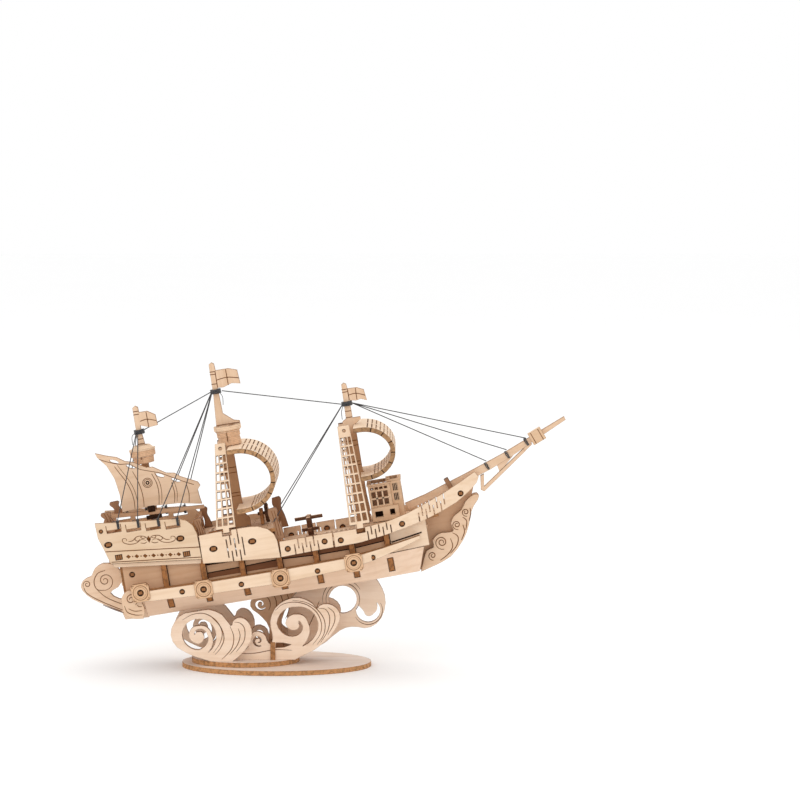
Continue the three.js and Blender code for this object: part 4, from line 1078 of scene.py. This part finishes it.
GRATING_BAR = 0.5  # half a bar between two holes
gratings = Piece("hatch_gratings", "deck", "tan_ply")
for x0, z, half, cells in ((26.0, WAIST_DECK_TOP, 5.0, 5), (-20.5, UPPER_DECK_TOP, 4.4, 4)):
    pitch = 2 * half / cells
    holes = []
    for i in range(cells):
        for j in range(cells):
            u, v = x0 + pitch * i, pitch * j - half
            holes.append(rectangle(u + GRATING_BAR, v + GRATING_BAR, u + pitch - GRATING_BAR,
                                   v + pitch - GRATING_BAR))
    border = rectangle(x0 - 0.4, -half - 0.4, x0 + 2 * half + 0.4, half + 0.4)
    gratings.plate(border, z, z + 1.0, "level", holes)
gratings.done()

# A band round the bowsprit, the lines round its collar, and a carved brace under it
BOWSPRIT_SLOPE = math.atan2(3.5, 9.2)
ALONG_SPAR = Vector((math.cos(BOWSPRIT_SLOPE), math.sin(BOWSPRIT_SLOPE)))
ACROSS_SPAR = Vector((-ALONG_SPAR.y, ALONG_SPAR.x))


def on_spar(x, z, length, height):
    centre = Vector((x, z))
    return [tuple(centre + ALONG_SPAR * a * length / 2 + ACROSS_SPAR * b * height / 2)
            for a, b in ((-1, -1), (1, -1), (1, 1), (-1, 1))]


band = Piece("bowsprit_band", "bracket", "tan_ply")
band.plate(on_spar(80.3, 33.2, 1.8, 6.0), -2.2, 2.2)
band.done()
COLLAR_AT = Vector((119.2, 47.4))
COLLAR_HALF = 2.2
collar_lines = Piece("collar_lines", "line", "dark_ply")
for side in SIDES:
    for shift_along in (-1.7, 1.7):
        at = COLLAR_AT + ALONG_SPAR * shift_along
        ends = [tuple(at + ACROSS_SPAR * e) for e in (-2.5, 2.5)]
        collar_lines.stroke(ends, FINE_WIDTH, *skin(COLLAR_HALF, side))
collar_lines.done()
brace = Piece("bowsprit_brace", "side_birch", "birch_ply")
BRACE_ENDS = [
    [(101.6, 35.4), (104.0, 37.0), (108.2, 40.9), (107.4, 41.6), (103.6, 39.4), (101.0, 38.6)],
    [(112.2, 42.6), (113.4, 41.9), (116.8, 44.4), (116.0, 45.4)],
]
for outline in BRACE_ENDS:
    brace.plate(outline, -0.8, 0.8)
brace.done()

# A rim of twelve sides on top of each nest, and the seam down each of its faces
NEST_SIDES = 12
NEST_RIMS = [(-6.3, 70.6, 5.75, 4.5, 1.9), (-42.6, 67.9, 5.5, 4.6, 0.7)]
NEST_SEAMS = [(-6.3, 66.0, 4.8, 4.4), (-42.6, 64.4, 4.9, 2.6)]
nest_rims = Piece("nest_rims", "rim", "pale_ply")
nest_seams = Piece("nest_seams", "line", "dark_ply")
for x, z, outer, inner, tall in NEST_RIMS:
    step = 360 / NEST_SIDES
    outline, opening = (arc(x, 0, radius, step / 2, step / 2 + 360 - step, NEST_SIDES - 1)
                        for radius in (outer, inner))
    nest_rims.plate(outline, z, z + tall, "level", holes=[opening])
nest_rims.done()
for x, z, half, tall in NEST_SEAMS:
    for side in SIDES:
        nest_seams.stroke([(x - 0.4, z), (x - 0.4, z + tall)], 0.26, side * (half - 0.3), side * (half + 0.1))
nest_seams.done()

# ---- thread wraps ----

STRAND = 0.17
WINDING_STEPS = 14  # points in one turn
RAIL_TIES = [(-55.4, 42.6), (-47.2, 41.8), (-39.0, 40.9), (-31.2, 39.9)]
wraps = Piece("thread_wraps", "thread", "thread")


def winding(centre, radius, turns, pitch, axis, wobble=0.1):
    """Turns of thread round axis, a little uneven."""
    axis = Vector(axis).normalized()
    across = axis.orthogonal().normalized()
    up = axis.cross(across)
    path = []
    for i in range(WINDING_STEPS * turns + 1):
        angle = 2 * math.pi * i / WINDING_STEPS
        reach = radius + wobble * math.sin(1.7 * angle)
        climb = pitch * (i / WINDING_STEPS - turns / 2) + wobble * math.sin(2.3 * angle)
        out = across * math.cos(angle) + up * math.sin(angle)
        path.append(Vector(centre) + reach * out + axis * climb)
    wraps.cord(path, STRAND)


for side in SIDES:
    for x, top in RAIL_TIES:
        loop = [(18.3, top - 3.0), (20.15, top - 3.0), (20.2, top - 0.1), (19.25, top + 0.3),
                (18.3, top - 0.1)]
        for u in (x - 0.35, x, x + 0.35):
            wraps.cord([(u, side * y, z) for y, z in loop], STRAND, closed=True)
        winding((x, side * 19.9, top + 0.1), 0.4, 2, 0.25, (0.2, 0, 1), 0.05)
        tail = [(x - 0.4, side * 20.2, top), (x - 1.2, side * 20.5, top + 0.4),
                (x - 2.2, side * 20.5, top + 0.1)]
        wraps.cord(tail, STRAND * 0.8)

# round the mast heads, each with its loose end
MAST_TIES = [((-8.6, 0, 87.0), (-6.0, -2.0, 84.6)), ((44.0, 0, 73.3), (41.4, -1.6, 70.6)),
             ((-42.5, 0, 75.6), (-45.6, -1.8, 74.2))]
for (x, y, z), end in MAST_TIES:
    winding((x, y, z), 2.05, 6, 0.3, (0, 0, 1))
    winding((x, y - 1.9, z), 0.7, 2, 0.3, (1, 0, 0.4), 0.06)
    loose = smooth([(x, z), ((x + end[0]) / 2, z - 0.2), (end[0], end[2]), (end[0] - 0.3, end[2] - 3.4)])
    wraps.cord([(u, end[1] - 0.3, v) for u, v in loose], STRAND * 0.8)
for x, z in ((97.0, 38.3), (106.0, 41.6), (114.6, 45.6)):
    winding((x, 0, z), 1.72, 3, 0.36, (ALONG_SPAR.x, 0, ALONG_SPAR.y))
wraps.done()

# Short cuts in the stern rail, beside its ties
rail_cuts = Piece("rail_cuts", "line", "dark_ply")
for side in SIDES:
    for i in range(4):
        low = 39.5 - 0.7 * i
        for x in (-60.4 + 8 * i, -54.4 + 8 * i):
            rail_cuts.stroke([(x, low), (x, low + 2.0)], 0.28, *skin(BEAM, side))
rail_cuts.done()

# ---- scene ----

FLOOR_REACH = 4.0
floor_mesh = bpy.data.meshes.new("floor")
corners = [(u * FLOOR_REACH, v * FLOOR_REACH, 0) for u, v in ((-1, -1), (1, -1), (1, 1), (-1, 1))]
floor_mesh.from_pydata(corners, [], [(0, 1, 2, 3)])
floor = bpy.data.objects.new("floor", floor_mesh)
bpy.context.scene.collection.objects.link(floor)
floor_tree = Tree("floor_paper")
paper = floor_tree.noise(floor_tree.add("TexCoord").outputs["Object"], 6.0, 2.0)
paper_colour = floor_tree.mix(paper, srgb(255, 255, 255), srgb(254, 254, 254))
floor_tree.link(paper_colour, floor_tree.shader.inputs["Base Color"])
floor_tree.shader.inputs["Roughness"].default_value = 0.9
floor_tree.shader.inputs["Specular IOR Level"].default_value = 0.1
floor_mesh.materials.append(floor_tree.material)

world = bpy.data.worlds.new("studio")
bpy.context.scene.world = world
world.use_nodes = True
background = world.node_tree.nodes["Background"]
background.inputs["Color"].default_value = (1.0, 1.0, 1.0, 1.0)
background.inputs["Strength"].default_value = 1.0
bpy.context.scene.view_settings.view_transform = "Standard"

LAMP_WHITE = (1.0, 0.99, 0.97)
LAMPS_AIM = Vector((0, 0, 0.05))


def area_light(name, at, size, power):
    data = bpy.data.lights.new(name, "AREA")
    data.shape = "SQUARE"
    data.size = size
    data.energy = power
    data.color = LAMP_WHITE
    lamp = bpy.data.objects.new(name, data)
    bpy.context.scene.collection.objects.link(lamp)
    lamp.location = at
    lamp.rotation_euler = (LAMPS_AIM - lamp.location).to_track_quat("-Z", "Y").to_euler()


area_light("key", (-0.45, -0.9, 0.95), 0.6, 1.8)
area_light("top", (0.1, 0.35, 1.1), 0.7, 1.5)
